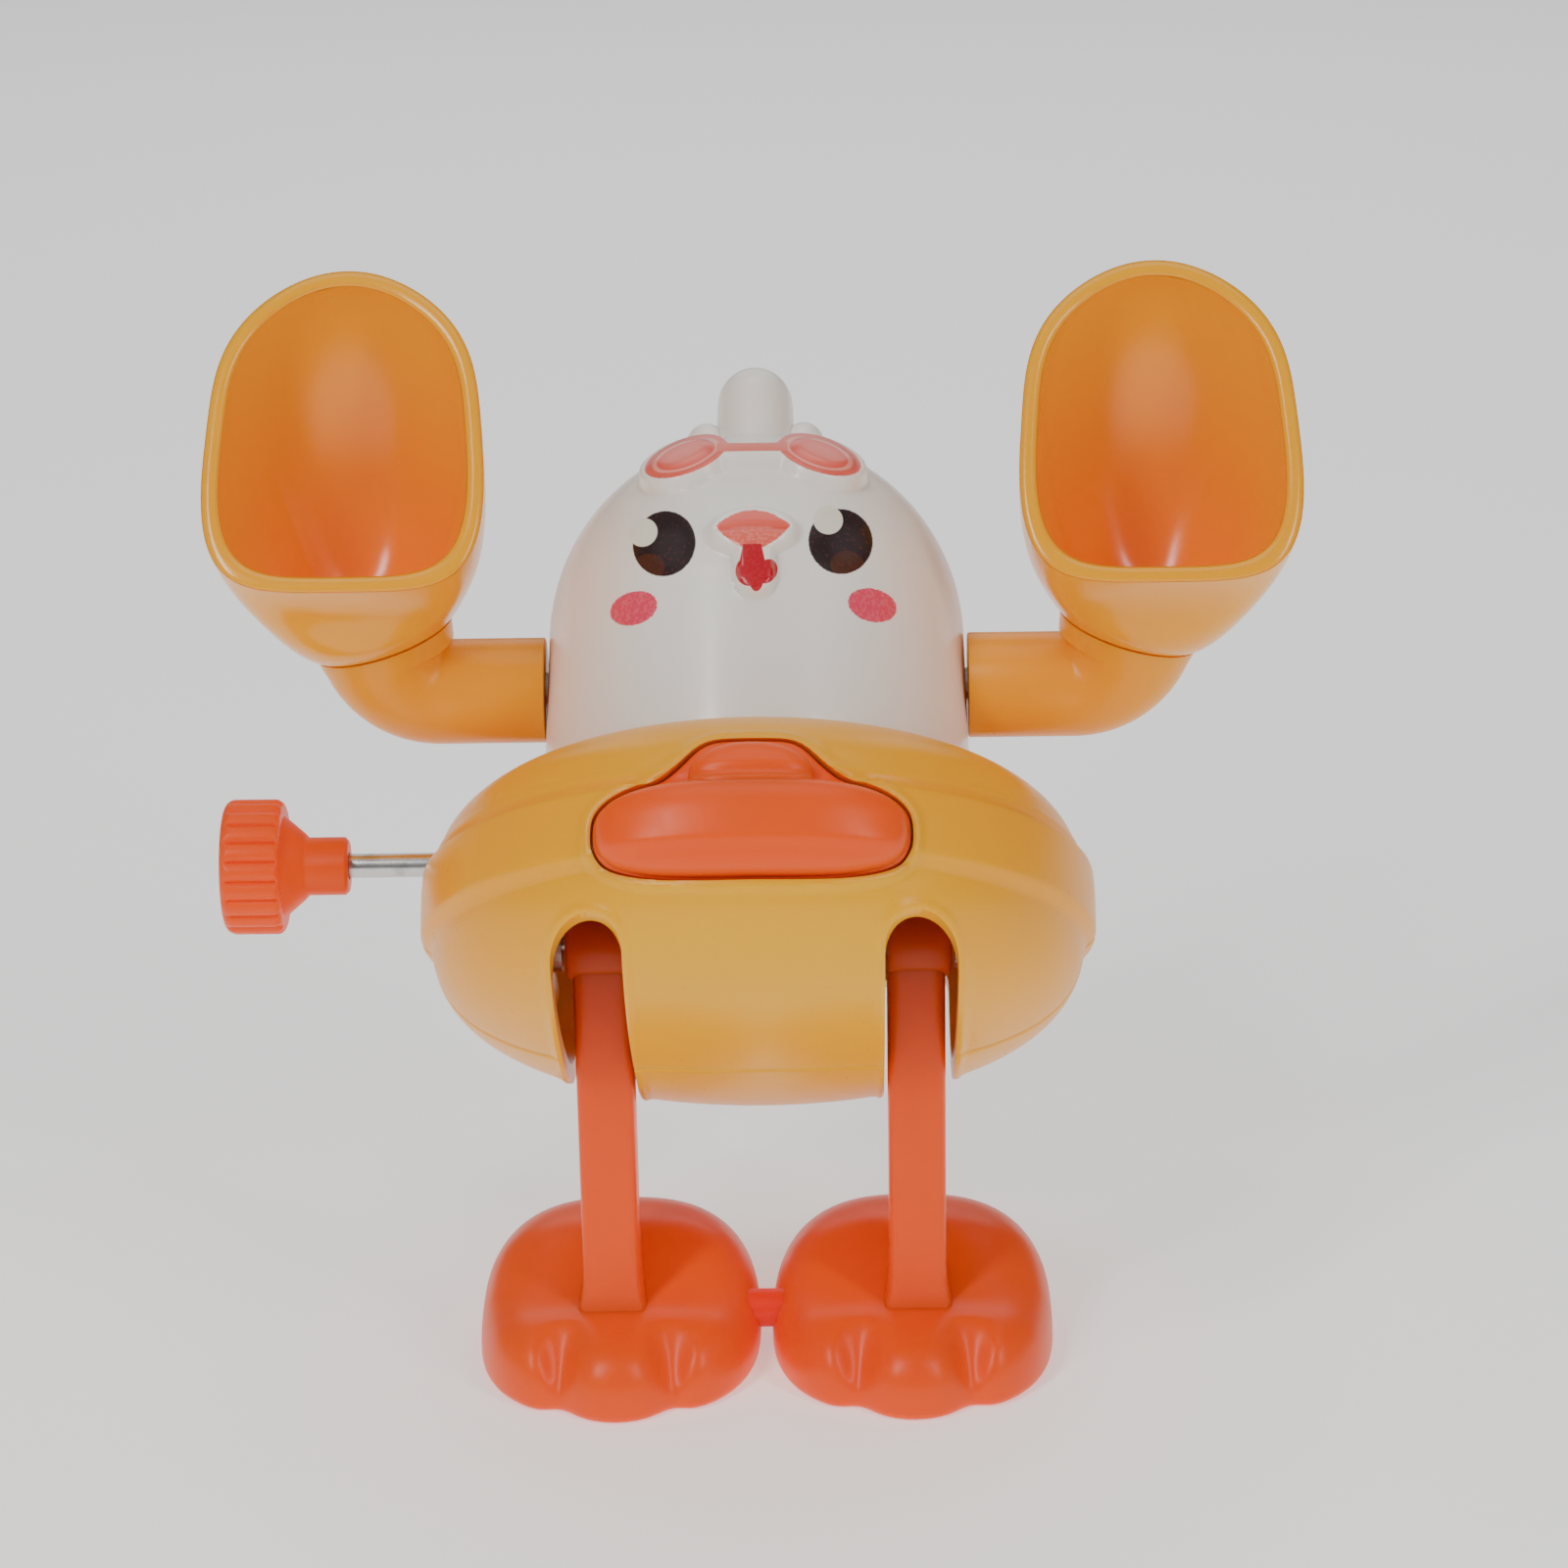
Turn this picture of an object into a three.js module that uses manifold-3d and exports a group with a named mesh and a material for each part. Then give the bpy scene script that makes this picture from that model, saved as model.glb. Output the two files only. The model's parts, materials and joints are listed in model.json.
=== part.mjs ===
// A wind-up hopping chick that wears a duck swim ring and holds up two open cups.
// Millimetres, +Z up, face towards -Y, soles on z = 0. "left" is the -X side, where the winding knob is.
// The body is drawn upright about the centre of its swim ring and then leans back on the hip pivot.
import * as THREE from "three";
import { mergeVertices } from "three/addons/utils/BufferGeometryUtils.js";
import Module from "manifold-3d";

const wasm = await Module();
wasm.setup();

// ---- Driving dimensions ----------------------------------------------------------------------
const GAP = 0.3; // between pieces that touch on the real toy
const LEAN = 40; // degrees that the body leans back over its legs
const HIP = { y: 0, z: -2 }; // hip pivot, from the centre of the swim ring
const HIP_HEIGHT = 39.2; // hip pivot above the ground

const RING = {
  radius: 26.9, band: 27.7, bandLow: -2.2, bandHigh: 3.3, halfHeight: 12.9, power: 2.9, wall: 1.4,
};
const NECK = { opening: 18, lip: 1.2, bottom: 9.2 };
const HEAD = { radius: 17.3, centre: 23.8, foot: 17.65, footTop: 12, bottom: 8.9, wall: 1.3 };
const COMB = { centre: 42.4, halfWidth: 3.3, halfDepth: 4.4, halfHeight: 6.1 };
const SIDE_COMB = { x: 4.1, centre: 40.4, halfWidth: 1.8, halfDepth: 2.6, halfHeight: 3.2 };
const BILL = { y: -25.2, z: -0.6, halfWidth: 12.4, halfDepth: 5.3, halfHeight: 4.1 };
const BILL_DOME = { y: -24.9, z: 4.3, halfWidth: 4.6, halfDepth: 3.4, halfHeight: 2.6 };
const SLOT = { x: 13.1, width: 5.8, frontTop: -6, backTop: 2.4 };

const SHOULDER = { y: 0, z: 20.1, axle: 1.5, axleHalf: 22 };
const ARM = { start: 17.9, radius: 4.4, bendStart: 26.1, bendRadius: 4.6, tilt: 16, endRadius: 5.6 };
const CUP = {
  baseX: 31, baseUp: 5, baseRadius: 6, floorUp: 2.6, wall: 1.4,
  mouthX: 33.1, mouthUp: 24, mouthFront: 3, mouthHalfWidth: 11.2, taper: 0.1, lipUp: 13.2, lipFront: 12,
  baseRise: 2.2, baseSwell: 3.2, mouthRun: 8, around: 24, steps: 5,
};

const LEG = { x: 12.9, width: 4.8, depth: 5, hub: 3, hubEnd: 15.8, bore: 1.5, ankle: 5 };
const TAIL = { rise: 9.8, length: 11.9, slotStart: 2.1, slotWidth: 1.8, halfWidth: 1.9, thickness: 2.2 };
const FOOT = {
  x: 12.5, halfWidth: 12, middle: -4.2, reach: 14, sidePower: 2.7, endPower: 2.5, // plan of the sole
  midToe: 1, valley: 4.8, valleyWidth: 1.5, valleyDepth: 0.9, furrow: 3.2, // three toes, two valleys
  toes: 6.6, heel: 3.5, edge: 0.9, // heights
};
const LINK = { radius: 1.65, y: 3, z: 3.6, holeEnd: 6, half: 5.5 };

const KNOB = {
  end: -44, grip: 4.9, radius: 5.6, flutes: 20, fluteDepth: 0.35,
  cone: 2, coneRadius: 4.1, neck: 3.3, neckRadius: 2.4,
};
const SHAFT = { radius: 1, y: 0, z: 4.92, rightEnd: 7.9 };

const MODULE = 0.5; // gear module
const FIT = 0.2; // bore of a gear or crank over its own arbor
const BEARING = 0.1; // bearing hole over its arbor
const PLATE = { inner: 7.2, outer: 8.2, edge: 1.5, stub: 15.5, stubRadius: 1.2 };
const HIP_SCREW = {
  head: 2.3, headStart: 16.1, headEnd: 17.1, shank: 0.6, shankStart: 10, hole: 0.9, holeStart: 9.5,
};
const SECOND = { y: 7.82, z: 8.25, arbor: 0.5 };
const CRANK = {
  y: 6.76, z: -0.19, arbor: 0.6, disc: 5, inner: 8.5, outer: 9.7,
  throw: 4, start: 139.8, pin: 0.7, pinEnd: 10.1,
};
const ESCAPE = { y: 14, z: -3.57, arbor: 0.5, tip: 4, root: 3.2, teeth: 12 };
const PALLET = { y: 17.3, z: 1.6, arbor: 0.4, reach: 3.2, prong: 1.8 };
const PILLARS = [[-7.5, -1.5], [6.5, -8.6], [16.5, 5.2], [-6.5, 12.5]];
const PLATE_CORNERS = [
  [-7.5, -1.5], [6.5, -8.6], [15.5, -4.5], [18.3, 1.6], [16.5, 5.2], [7.82, 9.6], [-6.5, 12.5],
];

// ---- Finishes --------------------------------------------------------------------------------
const FINISH = {
  yellow: { color: 0xf7b133, roughness: 0.35 },
  pearl: { color: 0xf1e6dd, roughness: 0.32 },
  orange: { color: 0xf4682a, roughness: 0.36 },
  amber: { color: 0xf59a1c, roughness: 0.35 },
  red: { color: 0xd5341f, roughness: 0.4 },
  nylon: { color: 0xe9e4d6, roughness: 0.5 },
  steel: { color: 0xb9bbbd, roughness: 0.3, metalness: 1 },
  spring: { color: 0x5b6672, roughness: 0.35, metalness: 1 },
};

// ---- Small tools -----------------------------------------------------------------------------
const rad = THREE.MathUtils.degToRad;
const bothSides = [-1, 1];
const signedPower = (v, power) => Math.sign(v) * Math.abs(v) ** power;
const span = (s, near, far) => (s < 0 ? [-far, -near] : [near, far]); // along X, on one side of the middle
const { cos, sin, PI } = Math;

// A closed geometry as a solid that can be joined and cut.
function solid(geometry) {
  const bare = new THREE.BufferGeometry().setAttribute("position", geometry.getAttribute("position"));
  bare.setIndex(geometry.index);
  const merged = mergeVertices(bare, 1e-4);
  const corners = [];
  for (let i = 0; i < merged.index.count; i += 3) {
    const [a, b, c] = [0, 1, 2].map((k) => merged.index.getX(i + k));
    if (a !== b && b !== c && c !== a) corners.push(a, b, c);
  }
  const made = new wasm.Manifold(new wasm.Mesh({
    numProp: 3,
    vertProperties: merged.attributes.position.array,
    triVerts: new Uint32Array(corners),
  }));
  return made;
}

const asSolid = (shape) => (shape.isBufferGeometry ? solid(shape) : shape);
const join = (...shapes) => shapes.map(asSolid).reduce((a, b) => a.add(b));
const cut = (shape, ...tools) => tools.map(asSolid).reduce((a, b) => a.subtract(b), asSolid(shape));
const common = (a, b) => asSolid(a).intersect(asSolid(b));

function geometryOf(made) {
  const { numProp, numVert, vertProperties, triVerts } = made.getMesh();
  const position = new Float32Array(numVert * 3);
  for (let i = 0; i < numVert; i++) {
    position.set(vertProperties.subarray(i * numProp, i * numProp + 3), i * 3);
  }
  const geometry = new THREE.BufferGeometry();
  geometry.setAttribute("position", new THREE.BufferAttribute(position, 3));
  geometry.setIndex(new THREE.BufferAttribute(triVerts, 1));
  geometry.computeVertexNormals();
  return geometry;
}

function addNode(group, name, shape, finish) {
  const mesh = new THREE.Mesh(geometryOf(asSolid(shape)), new THREE.MeshStandardMaterial(FINISH[finish]));
  mesh.name = name;
  group.add(mesh);
}

// A round rod along X about the line (y, z).
function rodX(x0, x1, radius, { y = 0, z = 0 } = {}, sides = 12) {
  const rod = new THREE.CylinderGeometry(radius, radius, x1 - x0, sides).rotateZ(PI / 2);
  return rod.translate((x0 + x1) / 2, y, z);
}

// A round rod along Y about the line (x, z).
function rodY(y0, y1, radius, x, z, sides = 16) {
  return new THREE.CylinderGeometry(radius, radius, y1 - y0, sides).translate(x, (y0 + y1) / 2, z);
}

function block(x0, x1, y0, y1, z0, z1) {
  const box = new THREE.BoxGeometry(x1 - x0, y1 - y0, z1 - z0);
  return box.translate((x0 + x1) / 2, (y0 + y1) / 2, (z0 + z1) / 2);
}

// An outline drawn in (y, z), carried along X from x0 to x1.
function sheetX(outline, x0, x1, curveSegments = 6) {
  const sheet = new THREE.ExtrudeGeometry(outline, { depth: x1 - x0, bevelEnabled: false, curveSegments });
  const turn = new THREE.Matrix4().makeBasis(
    new THREE.Vector3(0, 1, 0), new THREE.Vector3(0, 0, 1), new THREE.Vector3(1, 0, 0),
  );
  return sheet.applyMatrix4(turn).translate(x0, 0, 0);
}

// A profile of [radius, z] pairs turned about Z. It starts and ends on the axis.
function turned(profile, sides) {
  return new THREE.LatheGeometry(profile.map(([r, z]) => new THREE.Vector2(r, z)), sides).rotateX(PI / 2);
}

// A ball stretched to three half sizes.
function egg(halfX, halfY, halfZ, x, y, z, around = 24, high = 14) {
  const ball = new THREE.SphereGeometry(1, around, high).rotateX(PI / 2);
  return ball.scale(halfX, halfY, halfZ).translate(x, y, z);
}

// Closed rings of points joined one to the next, with a flat fan on the first and the last.
function loft(rings) {
  const n = rings[0].length;
  const points = rings.flat();
  const ends = [rings[0], rings.at(-1)].map((ring) => {
    const middle = ring.reduce((sum, p) => sum.add(p), new THREE.Vector3()).divideScalar(n);
    return points.push(middle) - 1;
  });
  const faces = [];
  for (let k = 0; k < n; k++) {
    const next = (k + 1) % n;
    for (let row = 0; row < rings.length - 1; row++) {
      const [a, b, c, d] = [row * n + k, row * n + next, (row + 1) * n + next, (row + 1) * n + k];
      faces.push(a, b, c, a, c, d);
    }
    const last = (rings.length - 1) * n;
    faces.push(ends[0], next, k, ends[1], last + k, last + next);
  }
  const geometry = new THREE.BufferGeometry().setFromPoints(points);
  geometry.setIndex(faces);
  return solid(geometry);
}

// ---- The body's shells -----------------------------------------------------------------------
// The swim ring's section: (r/R)^p + (z/H)^p = 1, with a raised band round its middle.
function ringArc(radius, halfHeight, from, to, steps) {
  const power = 2 / RING.power;
  return Array.from({ length: steps + 1 }, (_, i) => {
    const t = from + ((to - from) * i) / steps;
    return [radius * Math.max(cos(t), 0) ** power, halfHeight * signedPower(sin(t), power)];
  });
}
const heightAngle = (z, halfHeight) => Math.asin(signedPower(z / halfHeight, RING.power / 2));
const radiusAngle = (r, radius) => Math.acos((r / radius) ** (RING.power / 2));

function ringOuter() {
  const { radius, band, bandLow, bandHigh, halfHeight } = RING;
  const [low, high] = [bandLow, bandHigh].map((z) => heightAngle(z, halfHeight));
  return [
    [0, -halfHeight],
    ...ringArc(radius, halfHeight, -PI / 2, low, 7).slice(1),
    [band, bandLow + 0.5],
    [band, bandHigh],
    ...ringArc(radius, halfHeight, high, radiusAngle(NECK.opening + 0.4, radius), 5),
  ];
}

function ringShell() {
  const inner = { radius: RING.radius - RING.wall, halfHeight: RING.halfHeight - RING.wall };
  const start = radiusAngle(NECK.opening + NECK.lip, inner.radius);
  const outer = ringOuter();
  const top = outer.at(-1)[1];
  return turned([
    ...outer,
    [NECK.opening, top - 0.3],
    [NECK.opening, NECK.bottom],
    ...ringArc(inner.radius, inner.halfHeight, start, -PI / 2 + 0.001, 8),
    [0, -inner.halfHeight],
  ], 36);
}

const ringFilled = solid(turned([...ringOuter(), [0, ringOuter().at(-1)[1]]], 36));

// The head's section: a ball on a slightly wider neck, which stands inside the swim ring.
function headArc(radius, from, to, steps) {
  return Array.from({ length: steps + 1 }, (_, i) => {
    const t = from + ((to - from) * i) / steps;
    return [radius * Math.max(cos(t), 0), HEAD.centre + radius * sin(t)];
  });
}

const headOuter = [
  [HEAD.foot, HEAD.bottom],
  [HEAD.foot, HEAD.footTop],
  ...headArc(HEAD.radius, 0, PI / 2, 6),
];
const headInner = [
  ...headArc(HEAD.radius - HEAD.wall, PI / 2, 0, 5),
  [HEAD.foot - HEAD.wall, HEAD.footTop],
  [HEAD.foot - HEAD.wall, HEAD.bottom],
];
const headFilled = solid(turned([[0, HEAD.bottom], ...headOuter], 32));

function comb() {
  const lobe = ({ halfWidth, halfDepth, halfHeight, centre }, x, around, high) =>
    egg(halfWidth, halfDepth, halfHeight, x, 0, centre, around, high);
  return join(lobe(COMB, 0, 12, 8), ...bothSides.map((s) => lobe(SIDE_COMB, s * SIDE_COMB.x, 10, 6)));
}

// A post from each shell towards the other, and the screw that draws them together from behind.
const SCREWS = {
  ring: { x: 20.5, z: -1, post: 3, bore: 1.1, head: 1.8, seat: 10, front: -8, postEnd: 17 },
  head: { x: 9.5, z: 31, post: 2.4, bore: 0.9, head: 1.5, seat: 7, front: -6, postEnd: 13 },
};

function posts(screw, filled) {
  const { x, z, post, postEnd } = screw;
  return bothSides.map((s) => common(rodY(-postEnd, postEnd, post, s * x, z), filled));
}

function postBores(screw) {
  return bothSides.flatMap((s) => [
    rodY(screw.front - GAP, 30, screw.bore, s * screw.x, screw.z, 12),
    rodY(screw.seat, 30, screw.head + GAP, s * screw.x, screw.z, 12),
  ]);
}

function screwBody(screw, s) {
  const head = rodY(screw.seat + GAP, screw.seat + GAP + 1.2, screw.head, s * screw.x, screw.z, 16);
  const shank = rodY(screw.front, screw.seat + GAP + 0.2, screw.bore - GAP, s * screw.x, screw.z, 12);
  const x = s * screw.x;
  const drive = block(x - 1, x + 1, screw.seat + 1, screw.seat + 2, screw.z - 0.2, screw.z + 0.2);
  return cut(join(head, shank), drive);
}

const frontHalf = solid(block(-60, 60, -60, -GAP / 2, -60, 90));
const backHalf = solid(block(-60, 60, GAP / 2, 60, -60, 90));

function billShape(grow) {
  const cushion = ({ halfWidth, halfDepth, halfHeight, y, z }, around, high) =>
    egg(halfWidth + grow, halfDepth + grow, halfHeight + grow, 0, y, z, around, high);
  return join(cushion(BILL, 24, 10), cushion(BILL_DOME, 14, 8));
}

function legSlot(s) {
  const [x0, x1] = [s * SLOT.x - SLOT.width / 2, s * SLOT.x + SLOT.width / 2];
  return join(block(x0, x1, -40, 0.1, -30, SLOT.frontTop), block(x0, x1, 0, 40, -30, SLOT.backTop));
}

function motorRib(s) {
  return common(block(...span(s, PLATE.inner, PLATE.outer), -27, -9.4, -3, 6), ringFilled);
}

function addShells(group) {
  const ring = cut(
    join(ringShell(), ...posts(SCREWS.ring, ringFilled), ...bothSides.map(motorRib)),
    ...bothSides.map(legSlot), ...postBores(SCREWS.ring), billShape(GAP),
    rodX(-40, 0, SHAFT.radius + GAP, SHAFT),
  );
  addNode(group, "ring_front_shell", common(ring, frontHalf), "yellow");
  addNode(group, "ring_back_shell", common(ring, backHalf), "yellow");
  addNode(group, "duck_bill", billShape(0), "orange");

  const head = cut(
    join(turned([...headInner, ...headOuter], 32), comb(), ...posts(SCREWS.head, headFilled)),
    ...postBores(SCREWS.head), rodX(-40, 40, SHOULDER.axle + GAP, SHOULDER),
  );
  addNode(group, "head_front_shell", common(head, frontHalf), "pearl");
  addNode(group, "head_back_shell", common(head, backHalf), "pearl");

  for (const [part, screw] of Object.entries(SCREWS)) {
    addNode(group, `${part}_screw_left`, screwBody(screw, -1), "steel");
    addNode(group, `${part}_screw_right`, screwBody(screw, 1), "steel");
  }
}

// ---- The clockwork ---------------------------------------------------------------------------
// A gear outline about the origin with one tooth along `phase`. Pinions have wider teeth than wheels.
function gearOutline(teeth, phase) {
  const pitch = (MODULE * teeth) / 2;
  const step = (2 * PI) / teeth;
  const [tip, root] = [pitch + 0.8 * MODULE, pitch - 1.1 * MODULE];
  const points = [];
  for (let i = 0; i < teeth; i++) {
    const at = phase + i * step;
    for (const [r, share] of [[root, -0.26], [tip, -0.1], [tip, 0.1], [root, 0.26]]) {
      points.push(new THREE.Vector2(r * cos(at + share * step), r * sin(at + share * step)));
    }
  }
  return new THREE.Shape(points);
}

function gear(teeth, phase, x0, x1, { y, z }) {
  return solid(sheetX(gearOutline(teeth, phase), x0, x1).translate(0, y, z));
}

const direction = (from, to) => Math.atan2(to.z - from.z, to.y - from.y);
// A pinion has a gap, not a tooth, where the wheel's tooth comes in.
const pinionPhase = (from, to, teeth) => direction(from, to) + PI + PI / teeth;

// An outline of round corners: a convex polygon of [y, z] corners grown by `edge`.
function grownOutline(corners, edge) {
  const outline = new THREE.Shape();
  corners.forEach(([y, z], i) => {
    const [y0, z0] = corners.at(i - 1);
    const [y1, z1] = corners[(i + 1) % corners.length];
    const before = Math.atan2(z - z0, y - y0) - PI / 2;
    const after = Math.atan2(z1 - z, y1 - y) - PI / 2;
    outline.absarc(y, z, edge, before, after, false);
  });
  outline.closePath();
  return outline;
}

function motorPlate(s) {
  const outline = grownOutline(PLATE_CORNERS, PLATE.edge);
  const [x0, x1] = span(s, PLATE.inner, PLATE.outer);
  const stub = rodX(...span(s, PLATE.outer - 0.2, PLATE.stub), PLATE.stubRadius, HIP);
  const holes = [[SECOND, SECOND.arbor], [CRANK, CRANK.arbor], [ESCAPE, ESCAPE.arbor], [PALLET, PALLET.arbor],
    [SHAFT, SHAFT.radius]].map(([at, r]) => rodX(x0 - 1, x1 + 1, r + BEARING, at));
  const screwHole = rodX(...span(s, HIP_SCREW.holeStart, PLATE.stub + 1), HIP_SCREW.hole, HIP, 12);
  return cut(join(sheetX(outline, x0, x1), stub), ...holes, screwHole);
}

function hipScrew(s) {
  const { head, headStart, headEnd, shank, shankStart } = HIP_SCREW;
  return join(rodX(...span(s, headStart, headEnd), head, HIP, 20),
    rodX(...span(s, shankStart, headStart + 0.2), shank, HIP, 12));
}

// A flat strip wound from the inner radius to the outer one.
function mainspring() {
  const [inner, outer, turns, thickness, perTurn] = [1.7, 6.5, 3, 0.35, 12];
  const steps = turns * perTurn;
  const side = (offset) => Array.from({ length: steps + 1 }, (_, i) => {
    const [r, t] = [inner + ((outer - inner) * i) / steps + offset, (2 * PI * i) / perTurn];
    return new THREE.Vector2(r * cos(t), r * sin(t));
  });
  const outline = new THREE.Shape([...side(thickness / 2), ...side(-thickness / 2).reverse()]);
  return sheetX(outline, -6.6, -2.4).translate(0, SHAFT.y, SHAFT.z);
}

function crankDisc(s) {
  const [inner, outer, start] = [CRANK.inner, CRANK.outer, rad(CRANK.start)];
  const pin = { y: CRANK.y + CRANK.throw * cos(start), z: CRANK.z + CRANK.throw * sin(start) };
  const disc = rodX(...span(s, inner, outer), CRANK.disc, CRANK, 20);
  return cut(join(disc, rodX(...span(s, outer - 0.2, CRANK.pinEnd), CRANK.pin, pin, 12)),
    rodX(...span(s, inner - 1, outer - 0.4), CRANK.arbor + FIT, CRANK, 10));
}

function pallet() {
  const toWheel = direction(PALLET, ESCAPE);
  const { reach, prong } = PALLET;
  const bar = block(4.6, 5.6, -0.5, 0.5, -reach, reach);
  const prongs = bothSides.map((s) => block(4.6, 5.6, -0.5, prong, s * reach - 0.5, s * reach + 0.5));
  const shape = join(bar, ...prongs, rodX(4.4, 5.8, 1.1));
  const placed = geometryOf(shape).rotateX(toWheel).translate(0, PALLET.y, PALLET.z);
  return cut(placed, rodX(4, 6, PALLET.arbor + FIT, PALLET, 10));
}

function escapeGear() {
  const step = (2 * PI) / ESCAPE.teeth;
  const points = Array.from({ length: ESCAPE.teeth }, (_, i) => [
    new THREE.Vector2(ESCAPE.tip * cos(i * step), ESCAPE.tip * sin(i * step)),
    new THREE.Vector2(ESCAPE.root * cos((i + 0.25) * step), ESCAPE.root * sin((i + 0.25) * step)),
  ]).flat();
  const wheel = sheetX(new THREE.Shape(points), 4.6, 5.6).translate(0, ESCAPE.y, ESCAPE.z);
  const pinion = gear(8, pinionPhase(CRANK, ESCAPE, 8), 2.4, 4, ESCAPE);
  return cut(join(wheel, pinion, rodX(3.8, 4.8, 1.2, ESCAPE)), rodX(2, 6, ESCAPE.arbor + FIT, ESCAPE, 10));
}

function addMotor(group) {
  addNode(group, "motor_plate_left", motorPlate(-1), "nylon");
  addNode(group, "motor_plate_right", motorPlate(1), "nylon");
  PILLARS.forEach(([y, z], i) => {
    const pillar = rodX(GAP - PLATE.inner, PLATE.inner - GAP, 1, { y, z }, 12);
    addNode(group, `motor_pillar_${i + 1}`, pillar, "nylon");
  });
  addNode(group, "hip_screw_left", hipScrew(-1), "steel");
  addNode(group, "hip_screw_right", hipScrew(1), "steel");
  addNode(group, "mainspring", mainspring(), "spring");

  const mainWheel = join(gear(26, direction(SHAFT, SECOND), -1.8, -0.4, SHAFT), rodX(-2.1, -0.2, 2.2, SHAFT));
  addNode(group, "main_wheel", cut(mainWheel, rodX(-3, 1, SHAFT.radius + FIT, SHAFT)), "nylon");
  const second = join(gear(26, direction(SECOND, CRANK), 0.4, 1.6, SECOND),
    gear(8, pinionPhase(SHAFT, SECOND, 8), -2, -0.2, SECOND), rodX(-0.4, 0.6, 1.2, SECOND));
  addNode(group, "second_gear", cut(second, rodX(-3, 3, SECOND.arbor + FIT, SECOND, 10)), "nylon");
  addNode(group, "second_arbor", rodX(-8, 8, SECOND.arbor, SECOND, 10), "steel");
  const crank = join(gear(24, direction(CRANK, ESCAPE), 2.6, 3.8, CRANK),
    gear(8, pinionPhase(SECOND, CRANK, 8), 0.2, 1.8, CRANK), rodX(1.6, 2.8, 1.3, CRANK));
  addNode(group, "crank_gear", cut(crank, rodX(-1, 5, CRANK.arbor + FIT, CRANK, 10)), "nylon");
  addNode(group, "crank_axle", rodX(-9.1, 9.1, CRANK.arbor, CRANK, 10), "steel");
  addNode(group, "crank_left", crankDisc(-1), "nylon");
  addNode(group, "crank_right", crankDisc(1), "nylon");
  addNode(group, "escape_gear", escapeGear(), "nylon");
  addNode(group, "escape_arbor", rodX(-8, 8, ESCAPE.arbor, ESCAPE, 10), "steel");
  addNode(group, "pallet", pallet(), "nylon");
  addNode(group, "pallet_arbor", rodX(-8, 8, PALLET.arbor, PALLET, 10), "steel");
}

// The fluted winding knob and its steel shaft.
function addWinding(group) {
  const ribbed = (i) => KNOB.radius - (i % 3 === 2 ? KNOB.fluteDepth : 0);
  const around = KNOB.flutes * 3;
  const outline = new THREE.Shape(Array.from({ length: around }, (_, i) => {
    const t = (2 * PI * i) / around;
    return new THREE.Vector2(ribbed(i) * cos(t), ribbed(i) * sin(t));
  }));
  const gripEnd = KNOB.end + KNOB.grip;
  const neckStart = gripEnd + KNOB.cone;
  const stem = new THREE.CylinderGeometry(KNOB.neckRadius, KNOB.coneRadius, KNOB.cone + 0.2, 24)
    .rotateZ(-PI / 2).translate((gripEnd + neckStart) / 2, SHAFT.y, SHAFT.z);
  const knob = join(sheetX(outline, KNOB.end, gripEnd).translate(0, SHAFT.y, SHAFT.z), stem,
    rodX(neckStart - 0.1, neckStart + KNOB.neck, KNOB.neckRadius, SHAFT, 24));
  addNode(group, "winding_knob", cut(knob, rodX(-41, -30, SHAFT.radius + GAP, SHAFT)), "orange");
  addNode(group, "winding_shaft", rodX(-40.7, SHAFT.rightEnd, SHAFT.radius, SHAFT), "steel");
}

// ---- Arms and cups ---------------------------------------------------------------------------
// Points are [outward, up, front] from the shoulder axle; place() turns them into the part's axes.
const place = (s) => ([out, up, front]) => new THREE.Vector3(s * out, -front, up);

function tubeRing([out, up], angle, radius, sides = 16) {
  const [across, rise] = [-sin(rad(angle)), cos(rad(angle))];
  return Array.from({ length: sides }, (_, k) => {
    const t = (2 * PI * k) / sides;
    return [out + radius * cos(t) * across, up + radius * cos(t) * rise, radius * sin(t)];
  });
}

function arm(s) {
  const turn = 90 - ARM.tilt;
  const elbow = Array.from({ length: 5 }, (_, i) => {
    const angle = (turn * i) / 4;
    const centre = [ARM.bendStart + ARM.bendRadius * sin(rad(angle)), ARM.bendRadius * (1 - cos(rad(angle)))];
    return tubeRing(centre, angle, ARM.radius + 0.6 * (i / 4) ** 2);
  });
  const down = GAP / 2; // the arm ends this far under the cup's base, and the cup starts as far over it
  const end = [CUP.baseX - down * sin(rad(ARM.tilt)), CUP.baseUp - down * cos(rad(ARM.tilt))];
  const rings = [tubeRing([ARM.start, 0], 0, ARM.radius), ...elbow, tubeRing(end, turn, ARM.endRadius)];
  const ordered = s < 0 ? rings.toReversed() : rings;
  const bore = rodX(...span(s, ARM.start - 1, SHOULDER.axleHalf + GAP), SHOULDER.axle + FIT);
  return cut(loft(ordered.map((ring) => ring.map(place(s)))), bore);
}

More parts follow.
